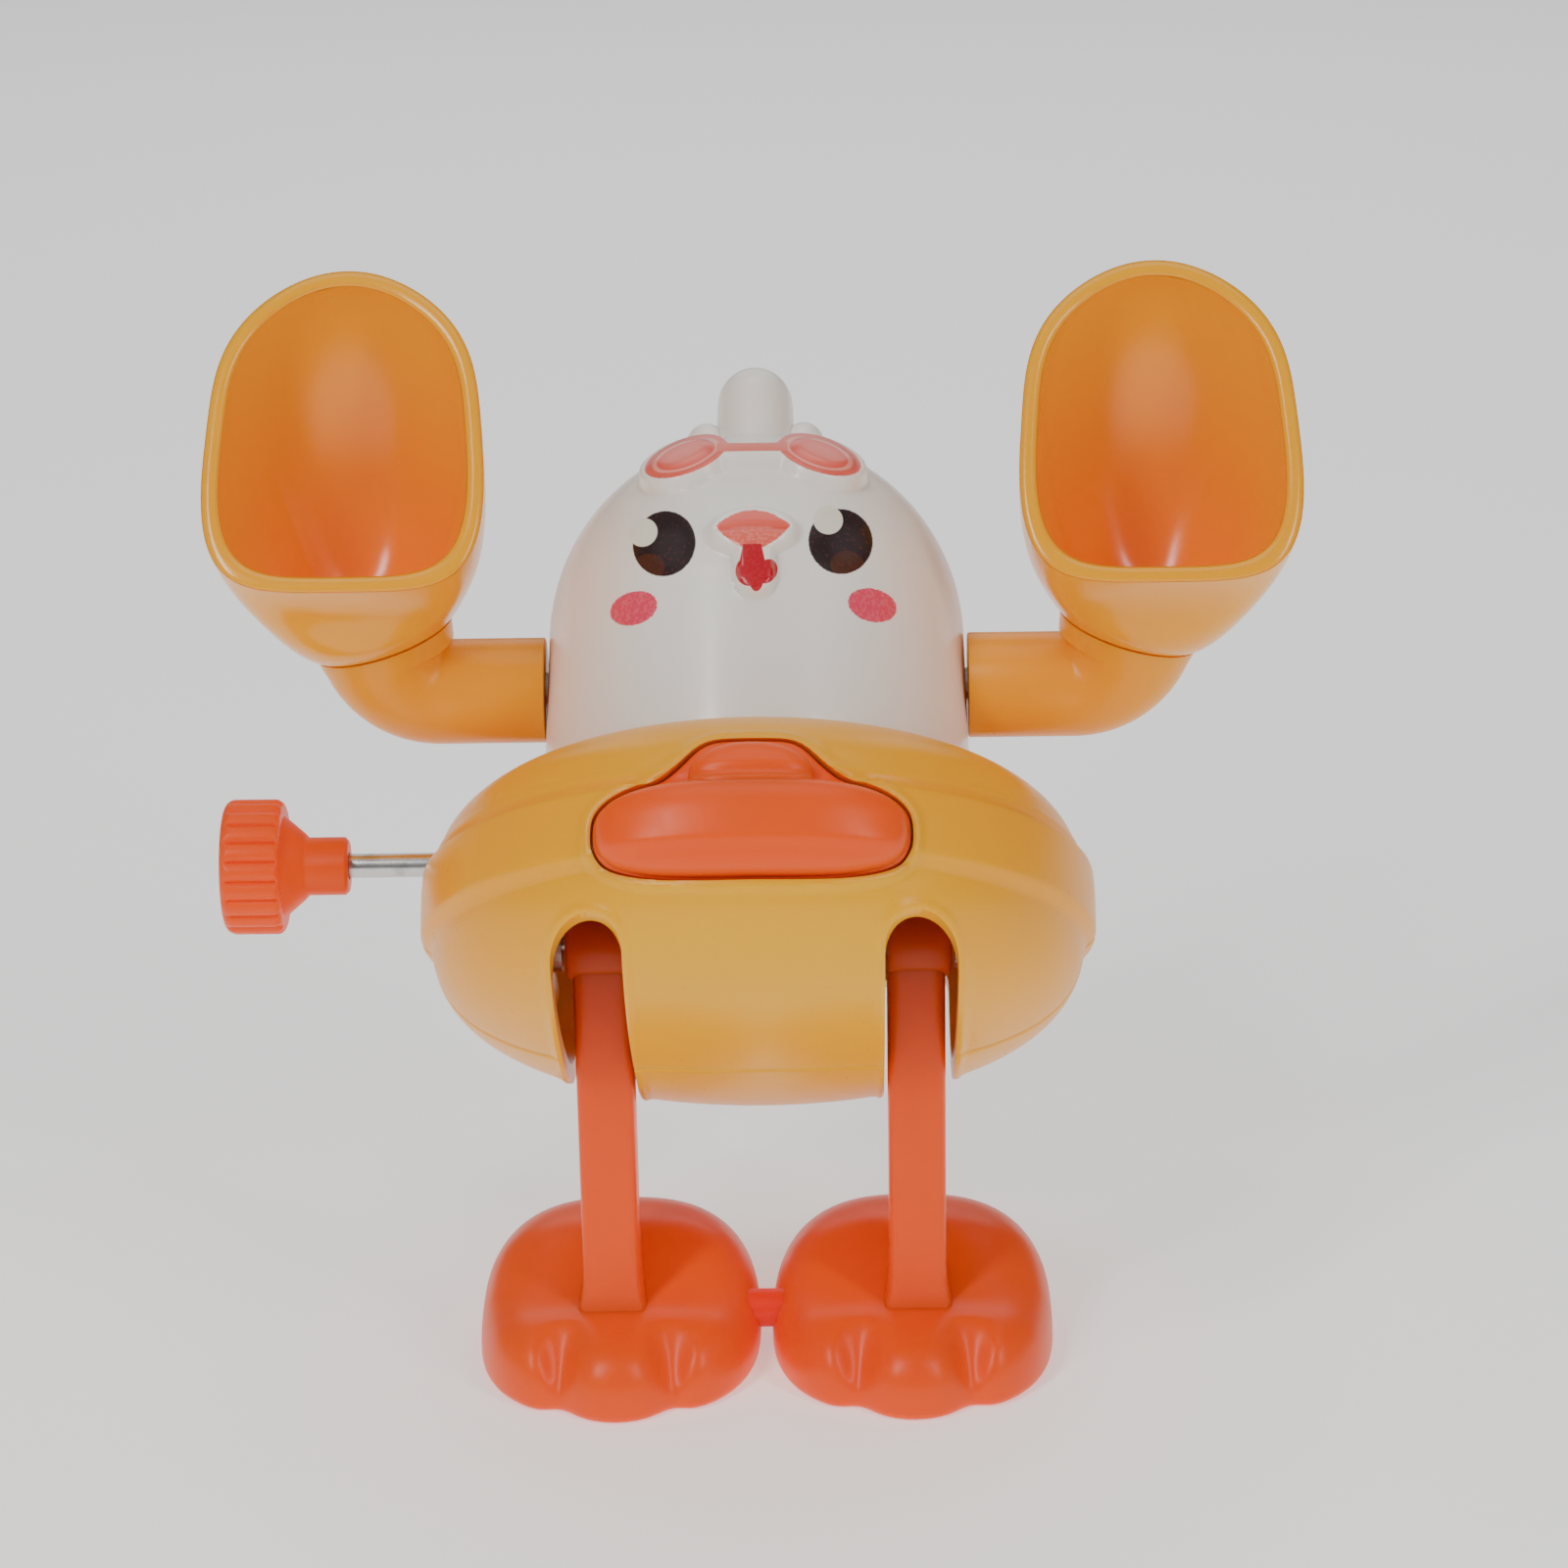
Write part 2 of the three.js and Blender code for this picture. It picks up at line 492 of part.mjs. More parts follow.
// One ring of a cup's wall, a share t of the way from the base circle to the slanted mouth. The mouth is
// |a|^p + |b|^p = 1, squarer and wider at its lower lip than at its top.
function cupRing(t, inset, lift) {
  const tilt = rad(ARM.tilt);
  const axis = [sin(tilt), cos(tilt), 0];
  const half = Math.hypot(CUP.mouthUp - CUP.lipUp, CUP.lipFront - CUP.mouthFront);
  const climb = [0, (CUP.mouthUp - CUP.lipUp) / half, (CUP.mouthFront - CUP.lipFront) / half];
  const facing = [0, -climb[2], climb[1]];
  const base = CUP.baseRadius - inset * 1.1;
  const weights = [(1 - t) ** 3, 3 * t * (1 - t) ** 2, 3 * t * t * (1 - t), t ** 3];
  return Array.from({ length: CUP.around }, (_, k) => {
    const [c, d] = [cos((2 * PI * k) / CUP.around), sin((2 * PI * k) / CUP.around)];
    const start = [
      CUP.baseX + lift * axis[0] + base * c * cos(tilt),
      CUP.baseUp + lift * axis[1] - base * c * sin(tilt),
      -base * d,
    ];
    const power = 2 / (3 - 0.9 * d);
    const rise = (half - inset) * signedPower(d, power);
    const side = (CUP.mouthHalfWidth - inset) * signedPower(c, power) * (1 - CUP.taper * rise / half);
    const mouth = [CUP.mouthX + side, CUP.mouthUp, CUP.mouthFront].map((v, i) => v + rise * climb[i]);
    const outward = [c * cos(tilt), -c * sin(tilt), -d];
    const leaving = start.map((v, i) => v + CUP.baseRise * axis[i] + CUP.baseSwell * outward[i]);
    const arriving = mouth.map((v, i) => v - CUP.mouthRun * facing[i]);
    const path = [start, leaving, arriving, mouth];
    return start.map((_, i) => path.reduce((sum, point, j) => sum + weights[j] * point[i], 0));
  });
}

function cup(s) {
  const { steps, wall, floorUp } = CUP;
  const outer = Array.from({ length: steps + 1 }, (_, i) => cupRing(i / steps, 0, GAP / 2));
  const inner = Array.from({ length: steps + 1 }, (_, i) => cupRing(1 - i / steps, wall, floorUp));
  const rings = [...outer, ...inner];
  return loft((s < 0 ? rings.toReversed() : rings).map((ring) => ring.map(place(s))));
}

function addArms(group) {
  addNode(group, "shoulder_axle", rodX(-SHOULDER.axleHalf, SHOULDER.axleHalf, SHOULDER.axle), "steel");
  for (const [side, s] of [["left", -1], ["right", 1]]) {
    addNode(group, `arm_${side}`, arm(s), "yellow");
    addNode(group, `cup_${side}`, cup(s), "amber");
  }
}

// ---- Legs and feet ---------------------------------------------------------------------------
// Angles round the sole from the middle toe, with one in each valley between the toes.
const HALF_TURN = [0, 6, 11, 16.3, 22, 30, 42, 55, 72, 90, 110, 130, 150, 166];
const SOLE_ANGLES = [...HALF_TURN, 180, ...HALF_TURN.slice(1).reverse().map((a) => -a)];
const FOOT_RINGS = [0.25, 0.45, 0.6, 0.72, 0.82, 0.9, 0.96, 1];

const ramp = (v, low, high) => THREE.MathUtils.smoothstep(v, low, high);
const inValley = (across) => Math.exp(-(((Math.abs(across) - FOOT.valley) / FOOT.valleyWidth) ** 2));

// The sole's outline as [across, ahead]: |a|^p + |f|^p = 1, longer at the middle toe, less at the valleys.
function soleOutline() {
  return SOLE_ANGLES.map((angle) => {
    const across = FOOT.halfWidth * signedPower(sin(rad(angle)), 2 / FOOT.sidePower);
    const ahead = FOOT.middle + FOOT.reach * signedPower(cos(rad(angle)), 2 / FOOT.endPower);
    const toes = FOOT.midToe * Math.exp(-((across / 3.2) ** 2)) - FOOT.valleyDepth * inValley(across);
    return [across, ahead + toes * ramp(ahead, 2, 6)];
  });
}

// The foot's full height: low over the toes, round over the heel, furrowed behind the valleys.
function footHeight(across, ahead) {
  return FOOT.toes + FOOT.heel * ramp(-ahead, -2.5, 8) - FOOT.furrow * inValley(across) * ramp(ahead, 4, 8.5);
}

function foot() {
  const outline = soleOutline();
  const top = FOOT_RINGS.map((share) => outline.map(([a, f]) => {
    const [across, ahead] = [a * share, FOOT.middle + (f - FOOT.middle) * share];
    const blunt = 3 + 3.5 * ramp(ahead, -2, 5);
    const fall = (1 - share ** blunt) ** (1 / 2.6);
    return new THREE.Vector3(across, -ahead, FOOT.edge + (footHeight(across, ahead) - FOOT.edge) * fall);
  }));
  const sole = outline.map(([a, f]) => {
    const inward = 1 - FOOT.edge / Math.hypot(a, f - FOOT.middle);
    return new THREE.Vector3(a * inward, -(FOOT.middle + (f - FOOT.middle) * inward), 0);
  });
  return loft([...top, sole].toReversed());
}

// A leg, its foot and its slotted tail in one piece, drawn about the hip pivot's foot point.
function leg(s) {
  const lift = HIP_HEIGHT;
  const [half, deep] = [LEG.width / 2, LEG.depth / 2];
  const bar = block(s * LEG.x - half, s * LEG.x + half, -deep, deep, LEG.ankle, lift);
  const hub = rodX(...span(s, LEG.x - half, LEG.hubEnd), LEG.hub, { y: 0, z: lift }, 24);
  const [inside, outside] = span(s, LEG.x - half, LEG.x - half + TAIL.thickness);
  const outline = new THREE.Shape();
  outline.absarc(TAIL.length - TAIL.slotWidth / 2, 0, TAIL.halfWidth, -PI / 2, PI / 2, false);
  outline.absarc(0, 0, TAIL.halfWidth, PI / 2, (3 * PI) / 2, false);
  outline.closePath();
  const slot = new THREE.Path();
  const slotHalf = TAIL.slotWidth / 2;
  slot.absarc(TAIL.length - slotHalf, 0, slotHalf, -PI / 2, PI / 2, false);
  slot.absarc(TAIL.slotStart + LEG.hub - slotHalf, 0, slotHalf, PI / 2, (3 * PI) / 2, false);
  outline.holes.push(slot);
  const tail = sheetX(outline, inside, outside).rotateX(rad(TAIL.rise)).translate(0, 0, lift);
  const footAt = geometryOf(foot()).translate(s * FOOT.x, 0, 0);
  const bore = rodX(s * LEG.x - 5, s * LEG.x + 5, LEG.bore, { y: 0, z: lift });
  const linkHole = rodX(...span(s, -1, LINK.holeEnd), LINK.radius + FIT, LINK);
  return cut(join(bar, hub, tail, footAt), bore, linkHole);
}

function addLegs(group) {
  addNode(group, "leg_left", leg(-1), "orange");
  addNode(group, "leg_right", leg(1), "orange");
  addNode(group, "foot_link_pin", rodX(-LINK.half, LINK.half, LINK.radius, LINK, 20), "red");
}

// ---- Assembly --------------------------------------------------------------------------------
const toy = new THREE.Group();

const legs = new THREE.Group();
addLegs(legs);
toy.add(legs);

const body = new THREE.Group(); // its origin is the hip pivot
body.position.z = HIP_HEIGHT;
body.rotation.x = -rad(LEAN);
const upright = new THREE.Group(); // its origin is the centre of the swim ring
upright.position.set(0, -HIP.y, -HIP.z);
body.add(upright);
addShells(upright);
addMotor(upright);
addWinding(upright);
toy.add(body);

const arms = new THREE.Group(); // its origin is the shoulder axle
arms.position.set(0, SHOULDER.y, SHOULDER.z).sub(new THREE.Vector3(0, HIP.y, HIP.z));
arms.position.applyAxisAngle(new THREE.Vector3(1, 0, 0), -rad(LEAN)).add(body.position);
addArms(arms);
toy.add(arms);

// The part's origin is the middle of its footprint box, on the ground.
const box = new THREE.Box3().setFromObject(toy, true);
for (const child of toy.children) {
  child.position.x -= (box.min.x + box.max.x) / 2;
  child.position.y -= (box.min.y + box.max.y) / 2;
}

export default toy;
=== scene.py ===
"""The looks of a wind-up hopping chick in a duck swim ring, built around its packed CAD model.

Shapes are drawn in millimetres. The body is drawn upright about the middle of its swim ring and then
leant back on the hip pivot; the arms are drawn about the shoulder axle and the legs about the hip.
"""
import json
import math
from types import SimpleNamespace

import bmesh
import bpy
import numpy as np
from mathutils import Matrix, Vector


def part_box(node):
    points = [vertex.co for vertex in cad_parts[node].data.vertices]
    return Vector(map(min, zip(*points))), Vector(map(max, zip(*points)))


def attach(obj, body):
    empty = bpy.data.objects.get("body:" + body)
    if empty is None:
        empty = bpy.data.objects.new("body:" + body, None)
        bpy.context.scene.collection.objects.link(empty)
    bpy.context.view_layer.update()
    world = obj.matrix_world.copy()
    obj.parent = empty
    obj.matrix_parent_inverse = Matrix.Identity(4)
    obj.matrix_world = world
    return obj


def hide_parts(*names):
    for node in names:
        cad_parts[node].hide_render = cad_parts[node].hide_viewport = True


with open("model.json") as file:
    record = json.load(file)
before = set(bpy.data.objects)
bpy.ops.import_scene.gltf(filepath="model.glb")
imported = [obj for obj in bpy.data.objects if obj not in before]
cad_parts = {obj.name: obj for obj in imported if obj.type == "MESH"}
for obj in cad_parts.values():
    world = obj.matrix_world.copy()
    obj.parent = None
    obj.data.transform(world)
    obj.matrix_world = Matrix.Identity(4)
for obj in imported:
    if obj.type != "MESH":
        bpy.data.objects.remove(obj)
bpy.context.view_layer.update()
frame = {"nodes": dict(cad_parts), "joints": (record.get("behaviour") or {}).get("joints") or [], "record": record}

bl_info = {
    "name": "Hopping Chick",
    "version": (1, 0, 0),
    "blender": (4, 5, 0),
    "location": "3D View > Sidebar > Chick",
    "description": "Builds the moulded shells, painted face and plain studio of a wind-up hopping chick",
    "category": "Add Mesh",
}

MM = 0.001
SCATTER = 3 * MM  # how far light wanders in the plastics
PIVOT = {joint["name"]: np.array(joint["pos_m"]) / MM for joint in frame["joints"]}
HIP, SHOULDER, KNOB_AXIS = PIVOT["leg_swing"], PIVOT["arm_turn"], PIVOT["winding_turn"]
LEAN = math.atan2(SHOULDER[1] - HIP[1], SHOULDER[2] - HIP[2])
BODY_UP = np.array([0, math.sin(LEAN), math.cos(LEAN)])
BODY_BACK = np.array([0, math.cos(LEAN), -math.sin(LEAN)])
RING_OVER_HIP = 2.0
RING_MIDDLE = HIP + RING_OVER_HIP * BODY_UP
SEAM = 0.15  # half the gap between the front and back shells
PRINT_TILT = math.radians(22)  # the face is pad printed along a line this far below level
SWEEP = {"front": (math.pi, 2 * math.pi), "back": (0.0, math.pi)}  # the angles that each half shell covers


# ---- Settings a user would change -------------------------------------------------------------
def length(label, text, default):
    return bpy.props.FloatProperty(name=label, description=text, default=default, unit="NONE")


def colour(label, text, default):
    return bpy.props.FloatVectorProperty(
        name=label, description=text, default=default, subtype="COLOR", size=3, min=0.0, max=1.0)


class ChickSizes(bpy.types.PropertyGroup):
    """Sizes of the moulded pieces, in millimetres."""

    ring_radius: length("Ring radius", "Swim ring's outer radius", 26.9)
    ring_height: length("Ring half height", "Half of the swim ring's height", 12.9)
    ring_power: length("Ring fullness", "Power of the ring's rounded section", 2.9)
    band_rise: length("Band rise", "How far the band stands out of the ring", 0.8)
    ring_wall: length("Ring wall", "Thickness of the ring's wall", 1.4)
    neck_radius: length("Neck radius", "Radius of the ring's opening round the head", 18.0)
    head_radius: length("Head radius", "Radius of the head's ball", 17.35)
    head_middle: length("Head middle", "Height of the head's ball over the ring's middle", 24.1)
    head_wall: length("Head wall", "Thickness of the head's wall", 1.3)
    relief: length("Relief", "How far the goggles and beak stand out of the head", 1.15)
    bill_width: length("Bill half width", "Half width of the bill's pillow", 12.3)
    bill_bulge: length("Bill bulge", "How far the bill stands out of the ring", 3.0)
    cup_width: length("Cup half width", "Half width of a cup's mouth", 11.2)
    cup_wall: length("Cup wall", "Thickness of a cup's wall", 1.35)
    foot_width: length("Foot half width", "Half width of a foot", 12.0)
    foot_height: length("Heel height", "Height of a foot's round heel", 10.1)


class ChickColours(bpy.types.PropertyGroup):
    """Colours of the plastics and prints, linear."""

    yellow: colour("Yellow", "Swim ring and arms", (1.0, 0.42, 0.0))
    # amber is painted shade in the depths of the cups, and part of the yellow's deeper tone
    amber: colour("Amber", "Depth of the cups", (1.0, 0.25, 0.0))
    orange: colour("Orange", "Bill, legs and knob", (1.0, 0.10, 0.0))
    ember: colour("Ember", "Pin between the feet and the shaded orange", (0.95, 0.02, 0.0))
    pearl: colour("Pearl", "Head and comb", (0.98, 0.88, 0.81))
    blush: colour("Blush", "Goggles and beak print", (0.86, 0.12, 0.08))
    cherry: colour("Cherry", "Wattle print", (0.52, 0.0, 0.012))
    rose: colour("Rose", "Cheek print", (0.80, 0.05, 0.11))
    ink: colour("Ink", "Eye print", (0.022, 0.008, 0.009))


def sizes():
    return bpy.context.scene.chick_sizes


def colours():
    """The panel's colours, as tuples."""
    group = bpy.context.scene.chick_colours
    return SimpleNamespace(**{key: tuple(getattr(group, key)) for key in ChickColours.__annotations__})


# ---- Shader maths -----------------------------------------------------------------------------
class Value:
    """A socket that carries a number, with the usual operators on it."""

    def __init__(self, finish, socket):
        self.finish, self.socket = finish, socket

    def math(self, operation, *others):
        node = self.finish.node("ShaderNodeMath", {"operation": operation}, [self, *others])
        return Value(self.finish, node.outputs[0])

    def __add__(self, other):
        return self.math("ADD", other)

    def __sub__(self, other):
        return self.math("SUBTRACT", other)

    def __mul__(self, other):
        return self.math("MULTIPLY", other)

    def __truediv__(self, other):
        return self.math("DIVIDE", other)

    def __neg__(self):
        return self * -1.0

    def __rsub__(self, other):
        return -self + other

    __radd__, __rmul__ = __add__, __mul__

    def least(self, other):
        return self.math("MINIMUM", other)

    def most(self, other):
        return self.math("MAXIMUM", other)

    def size(self):
        """The value without its sign."""
        return self.math("ABSOLUTE")

    def below(self, edge, soft):
        """1 where the value is under the edge and 0 over it, with a soft step between."""
        inputs = {"Value": self, "From Min": edge + soft, "From Max": edge - soft}
        node = self.finish.node("ShaderNodeMapRange", {"interpolation_type": "SMOOTHSTEP"}, inputs)
        return Value(self.finish, node.outputs[0])


class Finish:
    """A material under construction: constants on the shader, and nodes for what varies."""

    def __init__(self, name, **constants):
        self.material = bpy.data.materials.new(name)
        self.material.use_nodes = True
        self.tree = self.material.node_tree
        self.shader = self.tree.nodes["Principled BSDF"]
        self.place = self.tree.nodes.new("ShaderNodeTexCoord").outputs["Object"]
        self.tone = None
        for label, value in constants.items():
            self.shader.inputs[label.replace("_", " ")].default_value = value

    def node(self, kind, settings=None, inputs=()):
        """Adds a node: its settings first, then the values or links of its sockets."""
        node = self.tree.nodes.new(kind)
        for label, value in (settings or {}).items():
            setattr(node, label, value)
        pairs = inputs.items() if isinstance(inputs, dict) else enumerate(inputs)
        for label, value in pairs:
            self.set(node.inputs[label], value)
        return node

    def set(self, socket, value):
        value = value.socket if isinstance(value, Value) else value
        if isinstance(value, bpy.types.NodeSocket):
            self.tree.links.new(value, socket)
        elif socket.type == "RGBA":
            socket.default_value = (*value, 1.0)
        else:
            socket.default_value = value

    def drive(self, label, value):
        self.set(self.shader.inputs[label], value)

    def mapped(self, middle, turn=0.0):
        """Object coordinates in millimetres from a middle point, turned about X."""
        moved = self.node("ShaderNodeVectorMath", {"operation": "SUBTRACT"}, [self.place, tuple(middle * MM)])
        turned = self.node("ShaderNodeMapping", {"vector_type": "POINT"}, {
            "Vector": moved.outputs[0], "Rotation": (turn, 0.0, 0.0), "Scale": (1 / MM,) * 3})
        return turned.outputs[0]

    def attribute(self):
        """The number that build keeps on the mesh."""
        return Value(self, self.node("ShaderNodeAttribute", {"attribute_name": "shade"}).outputs["Fac"])

    def axes(self, vector):
        parts = self.node("ShaderNodeSeparateXYZ", inputs=[vector])
        return [Value(self, parts.outputs[i]) for i in range(3)]

    def grain(self, vector, scale, detail=2.0, roughness=0.5):
        node = self.node("ShaderNodeTexNoise", inputs={
            "Vector": vector, "Scale": scale, "Detail": detail, "Roughness": roughness})
        return Value(self, node.outputs[0])

    def mix(self, share, first, second):
        """The first colour where the share is 0 and the second where it is 1."""
        node = self.node("ShaderNodeMix", {"data_type": "RGBA"})
        self.set(node.inputs["Factor"], share)
        self.set(node.inputs[6], first)
        self.set(node.inputs[7], second)
        return node.outputs[2]

    def bump(self, height, strength, distance):
        node = self.node("ShaderNodeBump", inputs={
            "Strength": strength, "Distance": distance * MM, "Height": height})
        self.drive("Normal", node.outputs[0])


def ellipse(u, v, middle, half, tilt=0.0):
    """(a/A)^2 + (b/B)^2, which is 1 on the ellipse and less inside. Works on arrays and on shader values."""
    c, s = math.cos(tilt), math.sin(tilt)
    a = ((u - middle[0]) * c + (v - middle[1]) * s) / half[0]
    b = ((v - middle[1]) * c - (u - middle[0]) * s) / half[1]
    return a * a + b * b


def moulded(name, base, deep, rough=0.34, scatter=0.25):
    """Satin moulded plastic: slow colour drift, a fine tooled grain and faint handling marks."""
    finish = Finish(name, Subsurface_Weight=scatter, Subsurface_Radius=(1.0, 0.35, 0.12),
                    Subsurface_Scale=SCATTER, IOR=1.49, Specular_IOR_Level=0.3)
    drawn = finish.mapped(np.zeros(3))
    drift = finish.grain(drawn, 0.045, 2.0)
    cloud = finish.grain(drawn, 0.5, 3.0)
    finish.tone = finish.mix((drift - 0.35) * 0.5 + cloud * 0.08, base, deep)
    finish.drive("Base Color", finish.tone)
    finish.drive("Roughness", rough + (finish.grain(drawn, 0.9, 4.0) - 0.5) * 0.12)
    finish.bump(finish.grain(drawn, 6.0, 3.0) + finish.grain(drawn, 0.35, 1.0) * 1.5, 0.2, 0.02)
    return finish


# ---- Meshes from arrays -----------------------------------------------------------------------
def quads(rows, columns, wrap):
    """Faces of a grid of points stored row by row; wrap joins its last column to its first."""
    r = np.arange(rows - 1)[:, None] * columns
    c = np.arange(columns if wrap else columns - 1)[None, :]
    n = (c + 1) % columns
    return coords(r + c, r + n, r + columns + n, r + columns + c).reshape(-1, 4)


def closed_grid(points):
    """A tube of closed rings, its two ends filled with fans about their middles."""
    rows, columns = points.shape[:2]
    flat = points.reshape(-1, 3)
    middles = points[[0, -1]].mean(1)
    around = np.arange(columns)
    after = (around + 1) % columns
    first = coords(after, around, len(flat))
    offset = (rows - 1) * columns
    last = coords(around + offset, after + offset, len(flat) + 1)
    return np.vstack([flat, middles]), [quads(rows, columns, True), np.vstack([first, last])]


def swept(outer, inner, angles, stretch=1.0):
    """A wall between two profiles of (radius, height), turned through the angles and capped at both ends.

    A point is (r cos a, k r sin a, z), where k is the stretch from front to back.
    """
    loop = np.vstack([outer, inner[::-1]])
    c, s = np.cos(angles)[:, None], np.sin(angles)[:, None]
    points = coords(loop[:, 0] * c, loop[:, 0] * s * stretch, loop[:, 1])
    n = len(outer)
    k = np.arange(n - 1)
    cap = coords(k, k + 1, 2 * n - 2 - k, 2 * n - 1 - k)
    offset = (len(angles) - 1) * len(loop)
    return points, [quads(len(angles), len(loop), True), cap, cap[:, ::-1] + offset]


def build(name, shells, crease=35.0, shade=None):
    """One object from closed shells of (points in millimetres, face arrays), faces outwards, edges creased.

    A shade, one number for each point, is kept on the mesh as the attribute "shade".
    """
    points, faces, count = [], [], 0
    for shell_points, shell_faces in shells:
        points.append(shell_points.reshape(-1, 3))
        faces.extend(array + count for array in shell_faces)
        count += len(points[-1])
    corners = np.concatenate([array.reshape(-1) for array in faces]).astype(np.int32)
    lengths = np.concatenate([np.full(len(array), array.shape[1]) for array in faces])
    mesh = bpy.data.meshes.new(name)
    mesh.vertices.add(count)
    mesh.vertices.foreach_set("co", (np.concatenate(points) * MM).astype(np.float32).reshape(-1))
    mesh.loops.add(len(corners))
    mesh.loops.foreach_set("vertex_index", corners)
    mesh.polygons.add(len(lengths))
    mesh.polygons.foreach_set("loop_start", np.concatenate([[0], np.cumsum(lengths)[:-1]]).astype(np.int32))
    mesh.update(calc_edges=True)
    if shade is not None:
        mesh.attributes.new("shade", "FLOAT", "POINT").data.foreach_set("value", shade.astype(np.float32))
    loose = bmesh.new()
    loose.from_mesh(mesh)
    bmesh.ops.remove_doubles(loose, verts=loose.verts, dist=2e-6)
    bmesh.ops.dissolve_degenerate(loose, edges=loose.edges, dist=1e-7)
    bmesh.ops.recalc_face_normals(loose, faces=loose.faces)
    loose.to_mesh(mesh)
    loose.free()
    piece = bpy.data.objects.new(name, mesh)
    bpy.context.scene.collection.objects.link(piece)
    smooth(piece, crease)
    return piece


def add_shells(piece, shells, crease):
    """Joins closed shells to a piece."""
    extra = build("extra", shells, crease)
    joined = bmesh.new()
    joined.from_mesh(piece.data)
    joined.from_mesh(extra.data)
    joined.to_mesh(piece.data)
    joined.free()
    bpy.data.objects.remove(extra)
    smooth(piece, crease)


def smooth(piece, crease):
    piece.data.polygons.foreach_set("use_smooth", np.ones(len(piece.data.polygons), bool))
    piece.data.set_sharp_from_angle(angle=math.radians(crease))


def cut_away(piece, cutters, crease=35.0):
    """Subtracts closed cutters from a piece and creases the new edges."""
    for cutter in cutters:
        step = piece.modifiers.new("cut", "BOOLEAN")
        step.operation, step.solver, step.object = "DIFFERENCE", "EXACT", cutter
        with bpy.context.temp_override(object=piece, active_object=piece):
            bpy.ops.object.modifier_apply(modifier=step.name)
        bpy.data.objects.remove(cutter)
    smooth(piece, crease)


def lean(points):
    """Upright body drawing to the part's frame: middle + x across + y back + z up the leaning body."""
    p = np.asarray(points, float)
    return RING_MIDDLE + p[..., :1] * [1, 0, 0] + p[..., 1:2] * BODY_BACK + p[..., 2:3] * BODY_UP


def upright(points):
    """The part's frame back to the upright body drawing."""
    p = np.asarray(points, float) - RING_MIDDLE
    return coords(p[..., 0], p @ BODY_BACK, p @ BODY_UP)


def even(profile, count):
    """A polyline walked at even steps of its length."""
    steps = np.hypot(*np.diff(profile, axis=0).T)
    walked = np.concatenate([[0], np.cumsum(steps)])
    at = np.linspace(0, walked[-1], count)
    return np.stack([np.interp(at, walked, profile[:, i]) for i in (0, 1)], -1)


def coords(*parts):
    """Joins arrays and numbers, spread to one shape, along a new last axis."""
    return np.stack(np.broadcast_arrays(*parts), -1)


def signed_power(value, power):
    return np.sign(value) * np.abs(value) ** power


def step_up(value, low, high):
    """0 under low, 1 over high, and 3t2 - 2t3 between."""
    t = np.clip((value - low) / (high - low), 0, 1)
    return t * t * (3 - 2 * t)


def bell(value, middle, width):
    """A bell curve of height 1: exp(-((value - middle) / width)^2)."""
    return np.exp(-(((value - middle) / width) ** 2))


def full_turn(count):
    return np.linspace(0, 2 * math.pi, count, endpoint=False)


def rounded_box(turn, across, along, power):
    """Points of |x/a|^n + |z/b|^n = 1, where the power is 2 / n."""
    return coords(across * signed_power(np.cos(turn), power), along * signed_power(np.sin(turn), power))


def mirrored(half, side):
    """The angles of a half shell, from those between one seam and its middle."""
    low, high = SWEEP[side]
    return low + np.unique(np.concatenate([half, high - low - half]))


def skin_normals(outer, angles):
    """Unit normals of a swept profile: one for each angle and each point of the profile."""
    tangent = np.gradient(outer, axis=0)
    tangent /= np.hypot(*tangent.T)[:, None] + 1e-12
    c, s = np.cos(angles)[:, None], np.sin(angles)[:, None]
    return coords(c * tangent[:, 1], s * tangent[:, 1], -tangent[:, 0])


def prism_y(outline, y0, y1):
    """A closed prism of an outline of (x, z) points between two depths, in the upright drawing."""
    rings = [coords(outline[:, 0], y, outline[:, 1]) for y in (y0, y1)]
    return closed_grid(np.stack([lean(ring) for ring in rings]))


def rod(start, end, radii, around=48):
    """A closed round bar from start to end, with its radii as (share of the length, radius)."""
    start, end = np.asarray(start, float), np.asarray(end, float)
    axis = (end - start) / np.linalg.norm(end - start)
    side = np.cross(axis, [0.0, 0.6, 0.8])
    side /= np.linalg.norm(side)
    other = np.cross(axis, side)
    t = full_turn(around)
    circle = np.cos(t)[:, None] * side + np.sin(t)[:, None] * other
    return closed_grid(np.stack([start + share * (end - start) + radius * circle for share, radius in radii]))


def rounded_rod(start, end, radius, edge, around=48):
    """A bar whose two ends are rounded by a quarter circle of the edge radius."""
    reach = np.linalg.norm(np.asarray(end, float) - np.asarray(start, float))
    turn = np.linspace(0, math.pi / 2, 6)
    rise = [(edge * (1 - math.cos(t)) / reach, radius - edge + edge * math.sin(t)) for t in turn]
    return rod(start, end, rise + [(1 - share, r) for share, r in rise[::-1]], around)


def finish_piece(piece, finish, body, slot, *nodes):
    """Gives a piece its material, the body it rides, its slot, and the CAD node that it stands for."""
    piece.data.materials.clear()
    piece.data.materials.append(finish.material)
    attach(piece, body)
    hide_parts(*nodes)


